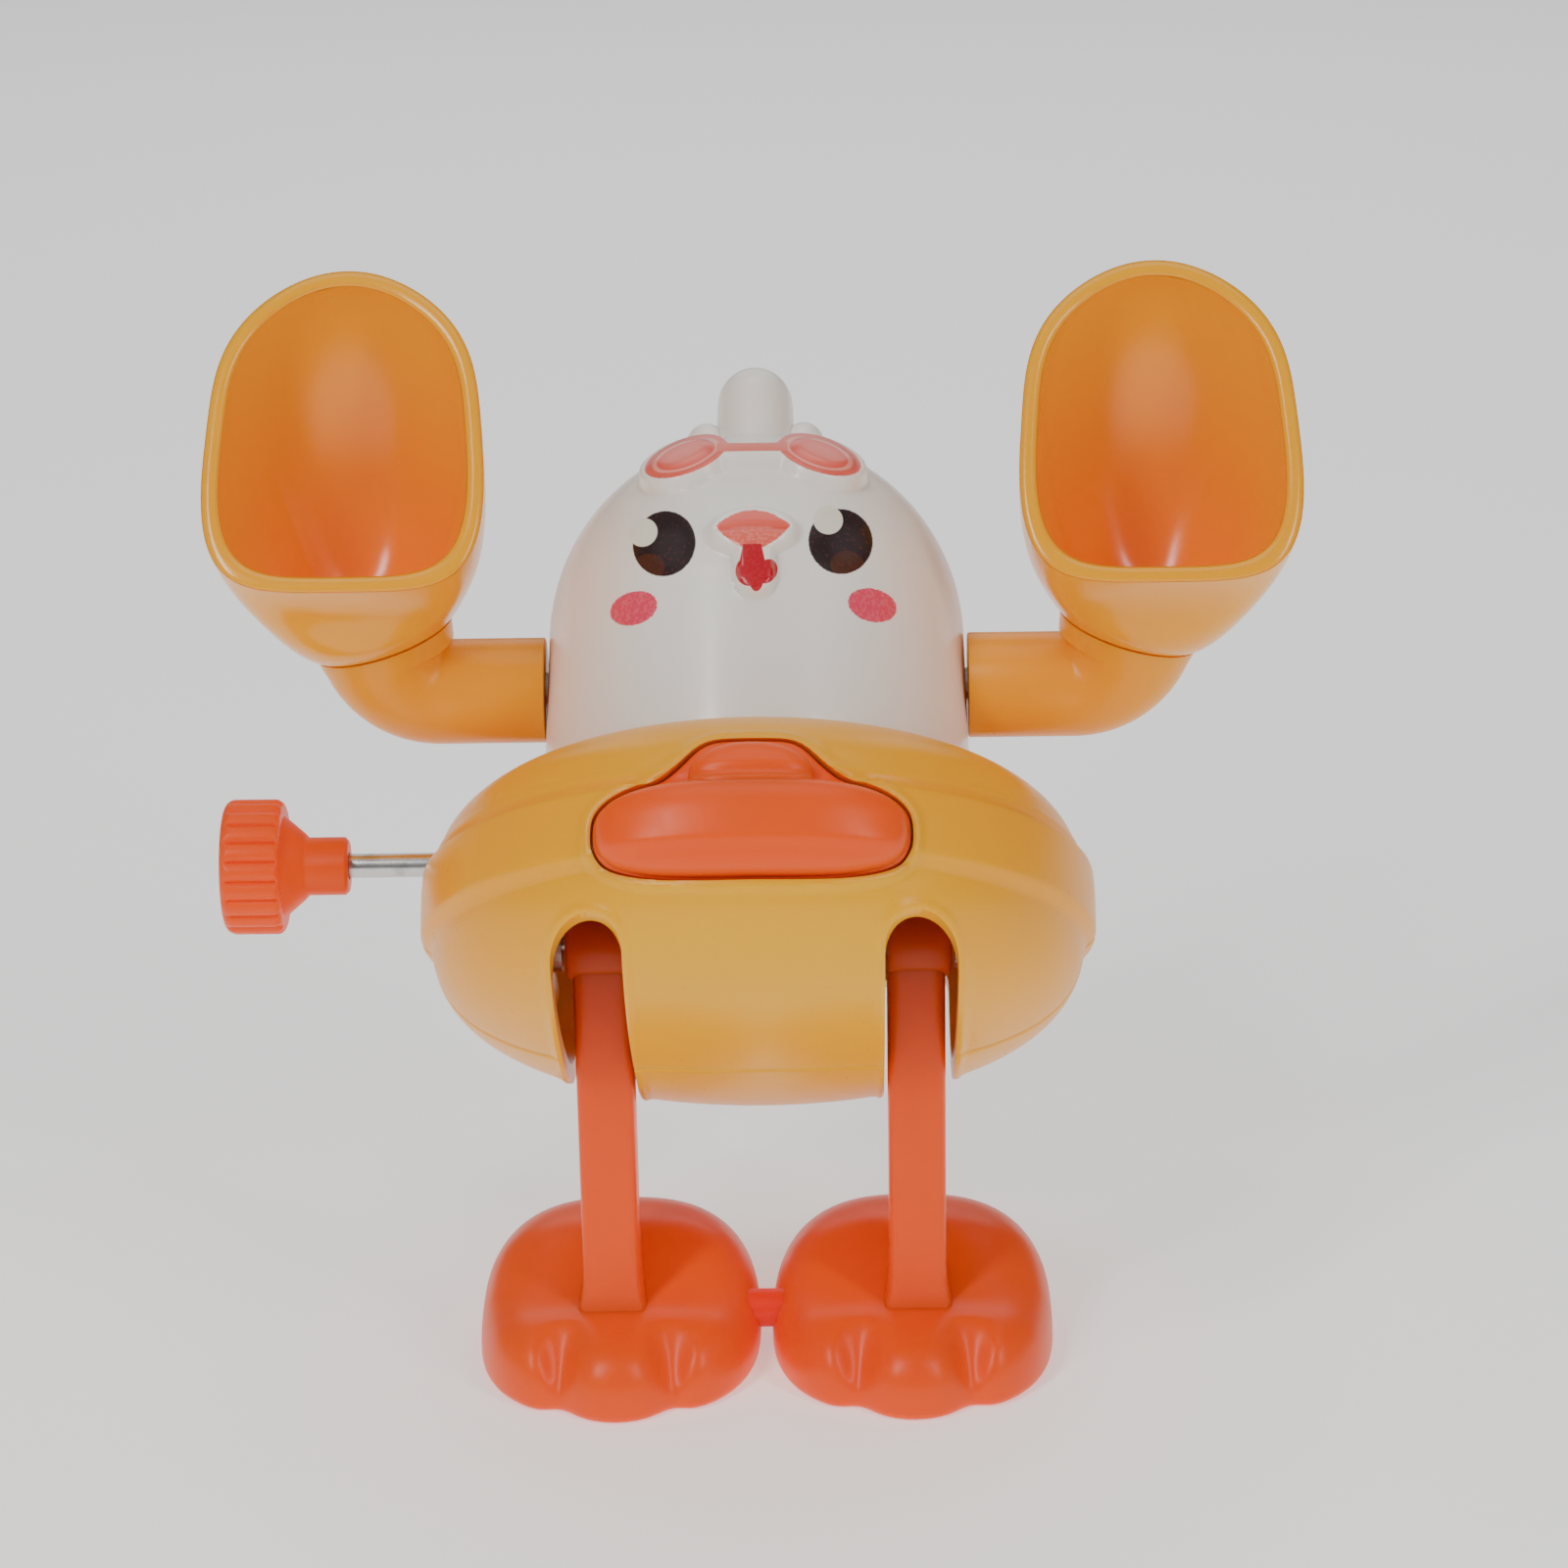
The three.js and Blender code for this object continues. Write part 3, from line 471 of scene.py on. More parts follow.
# ---- The swim ring ----------------------------------------------------------------------------
SLOT = {"x": 13.1, "half": 2.9, "front": -6.0, "back": 2.4}
BILL = {"z": -0.55, "half": 3.95, "power": 2 / 2.9, "crest": 3.6, "flare": 5.2}
DOME = {"z": 3.35, "half": (4.9, 3.2), "power": 2 / 2.2}
BAND = {"low": (-3.1, -1.9), "high": (3.05, 3.4), "groove": (3.75, 0.22), "ridge": (4.5, 0.35)}
RING_SCREW = {"x": 20.5, "z": -1.0, "well": 3.0, "hole": 2.1, "seat": 10.0}
HEAD_SCREW = {"x": 9.5, "z": 31.0, "well": 2.4, "hole": 1.8, "seat": 7.0}
WELL_SIDES = 40
SHAFT_OVER_MIDDLE = 4.92


def ring_section(radius, height, start, end, count):
    """(r/R)^p + (z/H)^p = 1 between two angles of its parameter."""
    power = 2 / sizes().ring_power
    t = np.linspace(start, end, count)
    return coords(radius * np.maximum(np.cos(t), 0) ** power, height * signed_power(np.sin(t), power))


def band(z):
    """The raised band: a soft rise from below, a crisp top edge, and a fine groove and ridge over it."""
    s = sizes()
    rise = step_up(z, *BAND["low"]) * (1 - step_up(z, *BAND["high"]))
    return s.band_rise * rise - 0.16 * bell(z, *BAND["groove"]) + 0.14 * bell(z, *BAND["ridge"])


def ring_profiles():
    s = sizes()
    power = s.ring_power / 2
    neck = s.neck_radius
    stop = math.acos(((neck + 0.55) / s.ring_radius) ** power)
    outer = ring_section(s.ring_radius, s.ring_height, -math.pi / 2, stop, 4000)
    outer[:, 0] += band(outer[:, 1]) * (outer[:, 0] > 5)
    top = outer[-1, 1]
    roll = np.linspace(0.35 * math.pi, math.pi, 14)
    lip = coords(neck + 0.4 + 0.4 * np.cos(roll), top - 0.33 + 0.4 * np.sin(roll))
    outer = np.vstack([outer, lip, [[neck, 9.2]]])
    inner_radius, inner_height = s.ring_radius - s.ring_wall, s.ring_height - s.ring_wall
    begin = math.acos(((neck + 1.2) / inner_radius) ** power)
    inner = ring_section(inner_radius, inner_height, -math.pi / 2, begin, 2000)
    return even(outer, 190), even(inner, 190)


def ring_angles(side):
    """Angles about the body: fine beside the seams and across the leg slots, coarser between."""
    seam = math.asin(SEAM / sizes().ring_radius)
    x = np.concatenate([
        np.array([0, 0.1, 0.2, 0.35, 0.55, 0.8, 1.2]) / sizes().ring_radius,
        np.linspace(0.08, 0.72, 22), np.linspace(0.74, 1.24, 52)[1:], np.linspace(1.26, math.pi / 2, 16),
    ]) + seam
    return mirrored(np.minimum(x, math.pi / 2), side)


def slot_distance(points, top):
    """Distance to the edge of the leg slots, whose tops are half circles."""
    across = np.abs(np.abs(points[..., 0]) - SLOT["x"])
    over = np.maximum(points[..., 2] - (top - SLOT["half"]), 0)
    return np.hypot(across, over) - SLOT["half"]


def bill_outline(grow=0.0):
    """The recess of the bill: a rounded bar, and over it a bump that flares into the bar's top edge.

    The bar is |x/a|^p + |z/b|^p = 1, and the bump adds h / (1 + |x/w|^6) to its upper half.
    """
    s = sizes()
    t = full_turn(160)
    x, z = rounded_box(t, s.bill_width + grow, BILL["half"] + grow, BILL["power"]).T
    z = BILL["z"] + z
    bump = BILL["crest"] / (1 + np.abs(x / (BILL["flare"] + grow)) ** 6)
    return coords(x, z + bump * step_up(np.sin(t), 0.0, 0.5))


def outline_distance(x, z, outline):
    """Distance from each point to the nearest side of a closed outline."""
    after = np.roll(outline, -1, 0)
    along = after - outline
    best = np.full(x.shape, 1e9)
    for start, side in zip(outline, along):
        share = np.clip(((x - start[0]) * side[0] + (z - start[1]) * side[1]) / (side @ side), 0, 1)
        best = np.minimum(best, np.hypot(x - start[0] - share * side[0], z - start[1] - share * side[1]))
    return best


def ring_shell(side):
    """Half of the ring, with soft edges at the seam, a rim round the leg slots and a lip round the bill."""
    outer, inner = ring_profiles()
    angles = ring_angles(side)
    points, faces = swept(outer, inner, angles)
    n = len(outer)
    skin = points[:, :n]
    push = -0.12 * bell(np.abs(skin[..., 1]) - SEAM, 0.0, 0.22)
    push = push + 0.22 * bell(slot_distance(skin, SLOT[side]), 0.32, 0.3)
    if side == "front":
        facing = skin[..., 1] < -10
        near = outline_distance(skin[..., 0], skin[..., 2], bill_outline())
        push = push + np.where(facing, 0.3 * bell(near, 0.5, 0.38), 0)
    points[:, :n] = skin + push[..., None] * skin_normals(outer, angles)
    return lean(points), faces


def slot_cutter(x, side):
    """An arched prism that cuts one leg's slot through half of the ring."""
    top, (y0, y1) = SLOT[side], (-45, 1) if side == "front" else (-1, 45)
    t = np.linspace(0, math.pi, 24)
    arc = coords(x + SLOT["half"] * np.cos(t), top - SLOT["half"] + SLOT["half"] * np.sin(t))
    base = np.array([[x - SLOT["half"], -30.0], [x + SLOT["half"], -30.0]])
    return build("slot", [prism_y(np.vstack([arc, base]), y0, y1)])


def screw_well(screw, surface):
    """Tubes from two screws' seats to just under the shell's surface, with floors under their heads."""
    t = full_turn(WELL_SIDES)
    shells = []
    for sign in (-1, 1):
        rings = []
        for radius, share in [(1.1, 0), (screw["well"], 0), (screw["well"], 1), (screw["hole"], 1),
                              (screw["hole"], 0.05), (1.1, 0.05)]:
            x, z = sign * screw["x"] + radius * np.cos(t), screw["z"] + radius * np.sin(t)
            start = screw["seat"] - 0.8
            rings.append(coords(x, start + share * (surface(x, z) - 0.25 - start), z))
        rings = np.stack(rings + [rings[0]])
        shells.append((lean(rings), [quads(len(rings), WELL_SIDES, True)]))
    return shells


def well_cutters(screw):
    radii = [(0, screw["hole"]), (1, screw["hole"])]
    ends = [lean([[s * screw["x"], screw["seat"] + 0.3, screw["z"]], [s * screw["x"], 30, screw["z"]]])
            for s in (-1, 1)]
    return [build("well", [rod(*pair, radii, WELL_SIDES)]) for pair in ends]


def ring_depth(x, z):
    """Half depth of the ring at a point of its front view: sqrt(r(z)^2 - x^2)."""
    s = sizes()
    share = np.minimum(np.abs(z) / s.ring_height, 0.999)
    r = s.ring_radius * (1 - share ** s.ring_power) ** (1 / s.ring_power)
    return np.sqrt(np.maximum((r + band(z)) ** 2 - x * x, 1.0))


def make_ring():
    look = ring_finish()
    for side in ("front", "back"):
        piece = build(f"swim_ring_{side}", [ring_shell(side)], 40)
        cutters = [slot_cutter(s * SLOT["x"], side) for s in (-1, 1)]
        axle = lean([[-40, 0, SHAFT_OVER_MIDDLE], [-20, 0, SHAFT_OVER_MIDDLE]])
        cutters.append(build("shaft_hole", [rod(axle[0], axle[1], [(0, 1.3), (1, 1.3)], 32)]))
        if side == "front":
            cutters.append(build("recess", [prism_y(bill_outline(0.18), -40, -15)]))
        else:
            cutters += well_cutters(RING_SCREW)
        cut_away(piece, cutters, 40)
        if side == "back":
            add_shells(piece, screw_well(RING_SCREW, ring_depth), 40)
        finish_piece(piece, look, "body_shell", "yellow", f"ring_{side}_shell")


def ring_finish():
    """Yellow plastic, a little deeper towards the sides and lighter under the belly."""
    c = colours()
    deep = tuple(0.4 * a + 0.6 * b for a, b in zip(c.yellow, c.amber))
    finish = moulded("ring_plastic", c.yellow, deep, 0.3, 0.3)
    across, _, over = finish.axes(finish.mapped(RING_MIDDLE, LEAN))
    # painted shade: the yellow deepens towards the left and right of the ring
    side_shade = ((across.size() - 9.0) / 18.0).most(0.0).least(1.0)
    # painted light: the yellow turns lighter underneath, as if lit from below
    lit_belly = (over + 2.0).below(0.0, 5.0)
    tone = finish.mix(side_shade * 0.45, finish.tone, deep)
    tone = finish.mix(lit_belly * 0.5 * (1.0 - side_shade), tone, (1.0, 0.52, 0.0))
    finish.drive("Base Color", tone)
    return finish


# ---- The bill ---------------------------------------------------------------------------------
def bill_shell(outline, middle, lift, height, fullness):
    """A cushion over the ring, whose front stands lift + height (1 - q^n)^(1/n) proud.

    The share q runs from the middle to the rim.
    """
    q = 1 - (1 - np.linspace(0, 1, 40)) ** 2
    flat = middle + q[:, None, None] * (outline - middle)[None]
    face = ring_depth(flat[..., 0], flat[..., 1])
    rim = ring_depth(outline[:, 0], outline[:, 1]).mean()
    crown = lift + height * (1 - q ** fullness) ** (1 / fullness)
    front = -(0.55 * face + 0.45 * rim + crown[:, None])
    front_rings = coords(flat[..., 0], front, flat[..., 1])
    back = coords(outline[:, 0], -ring_depth(outline[:, 0], outline[:, 1]) + 2.5, outline[:, 1])
    back_inner = back * [0.5, 1, 1]
    back_inner[:, 2] = middle[1] + 0.5 * (outline[:, 1] - middle[1])
    rings = np.concatenate([front_rings[1:], back[None], back_inner[None]])
    return closed_grid(lean(rings))


def make_bill():
    s, c = sizes(), colours()
    t = full_turn(160)
    bar = rounded_box(t, s.bill_width - 0.25, BILL["half"] - 0.2, BILL["power"]) + [0, BILL["z"]]
    dome = rounded_box(t, *DOME["half"], DOME["power"]) + [0, DOME["z"]]
    shells = [
        bill_shell(bill_outline(-0.02), np.array([0.0, 0.4]), -0.5, 0.45, 6),
        bill_shell(bar, np.array([0.0, BILL["z"]]), -0.4, s.bill_bulge + 0.4, 3.0),
        bill_shell(dome, np.array([0.0, DOME["z"]]), -0.5, 2.0, 3.2),
    ]
    piece = build("bill", shells, 50)
    look = moulded("bill_plastic", c.orange, c.ember, 0.36, 0.3)
    finish_piece(piece, look, "body_shell", "orange", "duck_bill")


# ---- The head ---------------------------------------------------------------------------------
LENS = {"u": 5.45, "v": 38.05, "frame": (3.75, 1.72), "glass": (2.55, 1.08), "tilt": math.radians(20)}
BRIDGE = {"v": 38.6, "half": 0.42}
BEAK = {"u": 0.1, "v": 31.7, "top": 33.1, "bottom": 29.9}
WATTLE = {"u": 0.3, "top": 30.2}
LOBES = [((-0.35, 28.0), (0.95, 1.15), 0.35), ((1.2, 28.05), (0.8, 1.05), -0.5),
         ((0.35, 27.6), (0.62, 1.15), 0.0)]
EYE = {"u": 7.15, "v": 30.6, "half": (2.6, 2.72)}
CHEEK = {"u": 9.65, "v": 25.35, "half": (2.0, 1.36), "tilt": math.radians(13)}


def print_plane(points):
    """Across and up on the plane that the face is printed from: u = x and v = y sin t + z cos t."""
    p = points - RING_MIDDLE
    return p[..., 0], p[..., 1] * math.sin(PRINT_TILT) + p[..., 2] * math.cos(PRINT_TILT)


def lens_share(u, v, s, part):
    """The ellipse of one lens's frame or glass."""
    return ellipse(u, v, (s * LENS["u"], LENS["v"]), LENS[part], -s * LENS["tilt"])


def smooth_least(*values):
    """A soft minimum: -k log of the sum of exp(-v/k)."""
    k = 0.12
    return -k * np.log(sum(np.exp(-np.minimum(v, 12) / k) for v in values))


def capsule(u, v, start, end, radius):
    """Distance outside a bar with round ends."""
    du, dv = end[0] - start[0], end[1] - start[1]
    share = np.clip(((u - start[0]) * du + (v - start[1]) * dv) / (du * du + dv * dv), 0, 1)
    return np.hypot(u - start[0] - share * du, v - start[1] - share * dv) - radius


def face_relief(points):
    """Height of the goggles, beak and wattle over the ball, in millimetres."""
    rise = sizes().relief
    u, v = print_plane(points)
    v_goggles = v + rise * 0.88
    lens, glass = [
        np.minimum.reduce([(np.sqrt(lens_share(u, v_goggles, s, part)) - 1) * steep for s in (-1, 1)])
        for part, steep in (("frame", 2.3), ("glass", 1.6))]
    bar = capsule(u, v_goggles, (-2.2, BRIDGE["v"]), (2.2, BRIDGE["v"]), 0.62)
    goggles = rise * (1 - step_up(smooth_least(lens, bar), -0.22, 0.3))
    goggles = goggles + 0.38 * (1 - step_up(glass, -0.45, 0.2))
    v_beak = v + rise * 0.42
    beak = (np.sqrt(ellipse(u, v_beak, (BEAK["u"], BEAK["v"]), (3.35, 1.75))) - 1) * 2.0
    drop = capsule(u, v_beak, (WATTLE["u"] - 0.1, WATTLE["top"]), (WATTLE["u"], 28.0), 1.45)
    snout = rise * 1.05 * (1 - step_up(smooth_least(beak, drop), -0.3, 0.35))
    crease = 0.28 * bell(v_beak - 31.75 + 0.02 * u * u, 0.0, 0.16) * (beak < -0.15)
    front = np.where(upright(points)[..., 1] < -4, 1.0, 0.0)
    return (np.maximum(goggles, snout) - crease) * front


def head_profiles():
    """The head's section: a straight neck, a slight cone, and a ball on top."""
    s = sizes()
    t = np.linspace(0, math.pi / 2, 600)
    foot, foot_top, bottom = 17.65, 12.0, 8.9

    def walk(inset):
        r = s.head_radius - inset
        ball = coords(r * np.cos(t), s.head_middle + r * np.sin(t))
        neck = np.array([[foot - inset, bottom], [foot - inset, foot_top]])
        return even(np.vstack([neck, ball]), 200)

    return walk(0.0), walk(s.head_wall)


def head_shell(side):
    """Half of the head. Its shade is the height of the relief, as a share of the goggles' height."""
    outer, inner = head_profiles()
    seam = math.asin(SEAM / sizes().head_radius)
    fine = np.array([0, 0.1, 0.2, 0.35, 0.6]) / 17 + seam
    angles = mirrored(np.concatenate([fine, np.linspace(0.05, math.pi / 2, 96)]), side)
    points, faces = swept(outer, inner, angles)
    n = len(outer)
    skin = points[:, :n]
    push = -0.1 * bell(np.abs(skin[..., 1]), SEAM, 0.2)
    shade = np.zeros(points.shape[:2])
    if side == "front":
        relief = face_relief(lean(skin))
        push = push + relief
        shade[:, :n] = relief / sizes().relief
    points[:, :n] = skin + push[..., None] * skin_normals(outer, angles)
    return lean(points), faces, shade.reshape(-1)


# Each lobe's place across, radius, foot, top and stretch from front to back.
COMB = [(0, 3.22, 38.0, 48.5, 1.35), (-4.1, 1.8, 37.5, 43.6, 1.45), (4.1, 1.8, 37.5, 43.6, 1.45)]


def comb_shells(side):
    """Three round-topped lobes, cut on the seam: each is a half turned pillar with a ball on top."""
    low, high = SWEEP[side]
    t = np.linspace(0, math.pi / 2, 24)
    shells = []
    for x, radius, foot, top, stretch in COMB:
        ball = coords(radius * np.cos(t), top - radius + radius * np.sin(t))
        outer = np.vstack([[[0.0, foot]], [[radius * 1.06, foot]], ball])
        inner = coords(0.0, outer[:, 1])
        sweep = np.linspace(low, high, 40)
        points, faces = swept(outer, inner, sweep, stretch)
        points[..., 0] += x
        points[..., 1] += SEAM if side == "back" else -SEAM
        shells.append((lean(points), faces))
    return shells


def head_depth(x, z):
    s = sizes()
    over = np.maximum(z - s.head_middle, 0)
    return np.sqrt(np.maximum(s.head_radius ** 2 - over ** 2 - x * x, 1.0))


# Second tones of the prints and the pearl; "side" is the painted shade of the pearl towards the left and right of
# the head.
TONES = {
    "side": (0.92, 0.64, 0.50), "shimmer": (1.0, 0.93, 0.88), "glow": (0.075, 0.018, 0.006),
    "sheen": (0.075, 0.06, 0.065), "ink": (0.35, 0.06, 0.05), "spot": (0.87, 0.80, 0.66),
    "cheek": (0.90, 0.30, 0.32), "frame": (0.74, 0.10, 0.07), "pane": (0.82, 0.09, 0.06),
    "glass": (0.90, 0.19, 0.14), "rim": (0.95, 0.42, 0.34), "bridge": (0.86, 0.15, 0.10),
    "beak": (0.88, 0.13, 0.09), "chin": (0.86, 0.12, 0.08), "chin_fleck": (0.93, 0.32, 0.22),
    "wattle": (0.78, 0.03, 0.06),
}
GLINTS = {-1: {"glow": -1.25, "spot": (-1.75, 1.0)}, 1: {"glow": 0.5, "spot": (-1.0, 1.75)}}


def face_finish():
    """Pearl plastic with the pad-printed face, drawn as ellipses and bars on the print's plane."""
    c = colours()
    face = Finish("painted_pearl", Subsurface_Weight=0.35, Subsurface_Radius=(1.0, 0.6, 0.45),
                  Subsurface_Scale=SCATTER, IOR=1.5, Coat_Weight=0.3, Coat_Roughness=0.15)
    plane = face.mapped(RING_MIDDLE, PRINT_TILT)
    u, depth, v = face.axes(plane)
    facing = depth.below(4.5, 0.3)
    raised = 1.0 - face.attribute().below(0.35, 0.12)
    speckle = face.grain(plane, 3.4, 1.0)
    fleck = speckle.below(0.47, 0.02)
    ragged = (face.grain(plane, 5.0, 1.0) - 0.5) * 0.22
    shimmer = face.grain(plane, 9.0, 2.0)
    # painted shade: the pearl turns to a warmer, darker tone towards the left and right of the head
    side_shade = ((u.size() - 7.5) / 11.0).most(0.0).least(1.0)
    drift = (face.grain(plane, 0.05, 1.0) - 0.35) * 0.6
    skin = face.mix(drift + side_shade * 0.55, c.pearl, TONES["side"])
    skin = face.mix(shimmer * 0.10, skin, TONES["shimmer"])
    eyes = []
    for s in (-1, 1):
        eye_u, glints = s * EYE["u"], GLINTS[s]
        eyes.append((ellipse(u, v, (eye_u, EYE["v"]), EYE["half"]) + ragged * 0.35).below(1.0, 0.04) * facing)
        glow = ellipse(u, v, (eye_u + glints["glow"], EYE["v"] - 1.95), (1.35, 1.15)).below(1.0, 0.05)
        sheen = ellipse(u, v, (eye_u + 0.5, EYE["v"] - 0.3), (1.7, 1.9)).below(0.6, 0.6)
        ink = face.mix(glow, c.ink, TONES["glow"])
        ink = face.mix(sheen * 0.3, ink, TONES["sheen"])
        ink = face.mix(speckle.below(0.36, 0.02) * 0.12, ink, TONES["ink"])
        skin = face.mix(eyes[-1], skin, ink)
        spot = ellipse(u, v, (eye_u + glints["spot"][0], EYE["v"] + glints["spot"][1]), (1.2, 1.2))
        skin = face.mix(spot.below(1.0, 0.06) * facing, skin, TONES["spot"])
        cheek = ellipse(u, v, (s * CHEEK["u"], CHEEK["v"]), CHEEK["half"], -s * CHEEK["tilt"]) + ragged * 1.2
        skin = face.mix(cheek.below(1.0, 0.06) * facing, skin, face.mix(fleck * 0.22, c.rose, TONES["cheek"]))
        glass = lens_share(u, v, s, "glass")
        pane = face.mix((glass - 0.55).below(0.0, 0.5), TONES["pane"], TONES["glass"])
        red = face.mix(glass.below(1.0, 0.08), face.mix(fleck * 0.35, c.blush, TONES["frame"]), pane)
        rim = glass.below(1.3, 0.12) - glass.below(0.98, 0.08)
        red = face.mix(rim * 0.75, red, TONES["rim"])
        lens = (lens_share(u, v, s, "frame") + ragged * 0.3).below(0.93, 0.03)
        skin = face.mix(lens * raised, skin, red)
    bar = ((v - BRIDGE["v"] - 0.05).size() - BRIDGE["half"]).most(u.size() - 2.9)
    skin = face.mix(bar.below(0.0, 0.05) * raised, skin, TONES["bridge"])
    bow = (u - BEAK["u"]) * (u - BEAK["u"])
    beak = (v - BEAK["top"] + bow * 0.135).most((BEAK["bottom"] - v) + bow * 0.21) + ragged
    mouth = v - BEAK["v"] + bow * 0.06
    chin = face.mix(fleck * 0.4, TONES["chin"], TONES["chin_fleck"])
    bill = face.mix(mouth.below(0.0, 0.15), TONES["beak"], chin)
    skin = face.mix(beak.below(0.0, 0.05) * facing, skin, bill)
    stem = (u - WATTLE["u"] + 0.25).size() - 0.75 - (WATTLE["top"] - v) * 0.22
    stem = stem.most(v - 30.3).most(28.6 - v)
    first, second, third = [ellipse(u, v, *lobe) for lobe in LOBES]
    wattle = stem.below(0.0, 0.05).most(first.least(second).least(third).below(1.0, 0.06)) * facing
    skin = face.mix(wattle, skin, face.mix(fleck * 0.2, c.cherry, TONES["wattle"]))
    face.drive("Base Color", skin)
    face.drive("Roughness", 0.33 + (shimmer - 0.5) * 0.1 - (eyes[0] + eyes[1]) * 0.08)
    face.bump(face.grain(plane, 5.0, 3.0) + face.grain(plane, 0.4, 1.0), 0.22, 0.02)
    return face


def make_head():
    look = face_finish()
    for side in ("front", "back"):
        points, faces, shade = head_shell(side)
        piece = build(f"chick_head_{side}", [(points, faces)], 50, shade)
        if side == "back":
            cut_away(piece, well_cutters(HEAD_SCREW), 50)
            add_shells(piece, screw_well(HEAD_SCREW, head_depth), 50)
        add_shells(piece, comb_shells(side), 50)
        finish_piece(piece, look, "body_shell", "pearl", f"head_{side}_shell")


# ---- Arms and cups ----------------------------------------------------------------------------
ARM = {"start": 17.62, "radius": 4.4, "bend_start": 26.1, "bend": 4.6, "tilt": math.radians(16), "end": 5.9}
CUP = {"x": 31.0, "up": 5.0, "radius": 6.0, "mouth": (33.1, 24.0, 3.0), "lip": (13.2, 12.0), "floor": 2.6,
       "rise": 2.2, "swell": 3.2, "run": 8.0, "taper": 0.1}
RIM_START = 0.985  # the share of the cup's wall at which its rim begins to round over


def hang(points, s):
    """(outward, up, front) about the shoulder axle to the part's frame."""
    p = np.asarray(points, float)
    return SHOULDER + coords(s * p[..., 0], -p[..., 2], p[..., 1])


def arm_shell(s):
    """A bent tube: straight out, round a bend of one radius, and up into the cup, growing on the way."""
    turn = math.pi / 2 - ARM["tilt"]
    bend = np.linspace(0, turn, 26)
    centres = coords(ARM["bend_start"] + ARM["bend"] * np.sin(bend), ARM["bend"] * (1 - np.cos(bend)))
    axis = np.array([math.sin(ARM["tilt"]), math.cos(ARM["tilt"])])
    end = np.array([CUP["x"], CUP["up"]]) - 0.1 * axis
    edge = np.array([0.0, 0.05, 0.15])
    start = coords(ARM["start"] + edge, np.zeros(3))
    centres = np.vstack([start, centres, end])
    angle = np.concatenate([np.zeros(3), bend, [turn]])
    grow = ARM["radius"] + 1.15 * (bend / turn) ** 1.5
    radius = np.concatenate([ARM["radius"] - np.array([0.15, 0.04, 0.0]), grow, [ARM["end"]]])
    t = full_turn(64)
    across, rise = -np.sin(angle)[:, None], np.cos(angle)[:, None]
    reach = radius[:, None] * np.cos(t)
    points = coords(centres[:, :1] + reach * across, centres[:, 1:] + reach * rise,
                    radius[:, None] * np.sin(t))
    return closed_grid(hang(points, s))


def cup_rings(t, inset, rise):
    """Rings of the cup's wall: cubic Bezier curves from a tilted base circle to the slanted mouth.

    The mouth is |a|^p + |b|^p = 1 with p falling from 3.9 at its lower lip to 2.1 at its top, where it is
    also narrower. The walls leave the base swelling outwards.
    """
    s = sizes()
    tilt = ARM["tilt"]
    axis = np.array([math.sin(tilt), math.cos(tilt), 0])
    mouth_middle = np.array(CUP["mouth"])
    climb = np.array([0, mouth_middle[1] - CUP["lip"][0], mouth_middle[2] - CUP["lip"][1]])
    half = np.linalg.norm(climb)
    climb = climb / half
    facing = np.array([0, -climb[2], climb[1]])
    phi = full_turn(112)
    c, d = np.cos(phi), np.sin(phi)
    base = CUP["radius"] - inset * 1.1
    start = coords(CUP["x"] + rise * axis[0] + base * c * math.cos(tilt),
                   CUP["up"] + rise * axis[1] - base * c * math.sin(tilt), -base * d)
    outward = coords(c * math.cos(tilt), -c * math.sin(tilt), -d)
    power = 2 / (3.0 - 0.9 * d)
    a, b = signed_power(c, power), signed_power(d, power)
    wide = (s.cup_width - inset) * (1 - CUP["taper"] * b)
    mouth = mouth_middle + (wide * a)[:, None] * [1, 0, 0] + ((half - inset) * b)[:, None] * climb
    leaving, arriving = start + CUP["rise"] * axis + CUP["swell"] * outward, mouth - CUP["run"] * facing
    t = np.asarray(t)[:, None, None]
    near, far = (1 - t) ** 3 * start + 3 * t * (1 - t) ** 2 * leaving, 3 * t * t * (1 - t) * arriving
    return near + far + t ** 3 * mouth


def cup_shell(s):
    """The cup's wall: out, over the round rim and in again."""
    wall = sizes().cup_wall
    t = 1 - (1 - np.linspace(0, 1, 64)) ** 1.15
    outer = cup_rings(t[:-1], 0.0, 0.1)
    inner = cup_rings(t[:-1][::-1], wall, CUP["floor"])
    tip = cup_rings([RIM_START, 1.0], wall / 2, 0.1)
    outward = cup_rings([RIM_START], 0.0, 0.1)[0] - cup_rings([RIM_START], wall, 0.1)[0]
    rim = np.stack([tip[0] + outward * 0.5 * math.cos(a) + (tip[1] - tip[0]) * math.sin(a)
                    for a in np.linspace(0, math.pi, 7)])
    rings = np.concatenate([outer, rim, inner])
    # painted shade: 0 on the outside and the rim, rising to 1 at the cup's floor
    depth = np.concatenate([np.zeros(len(outer) + len(rim)), step_up(1 - t[:-1][::-1], 0.0, 0.95)])
    shade = np.concatenate([np.repeat(depth, rings.shape[1]), [0.0, 1.0]])
    return closed_grid(hang(rings, s)), shade


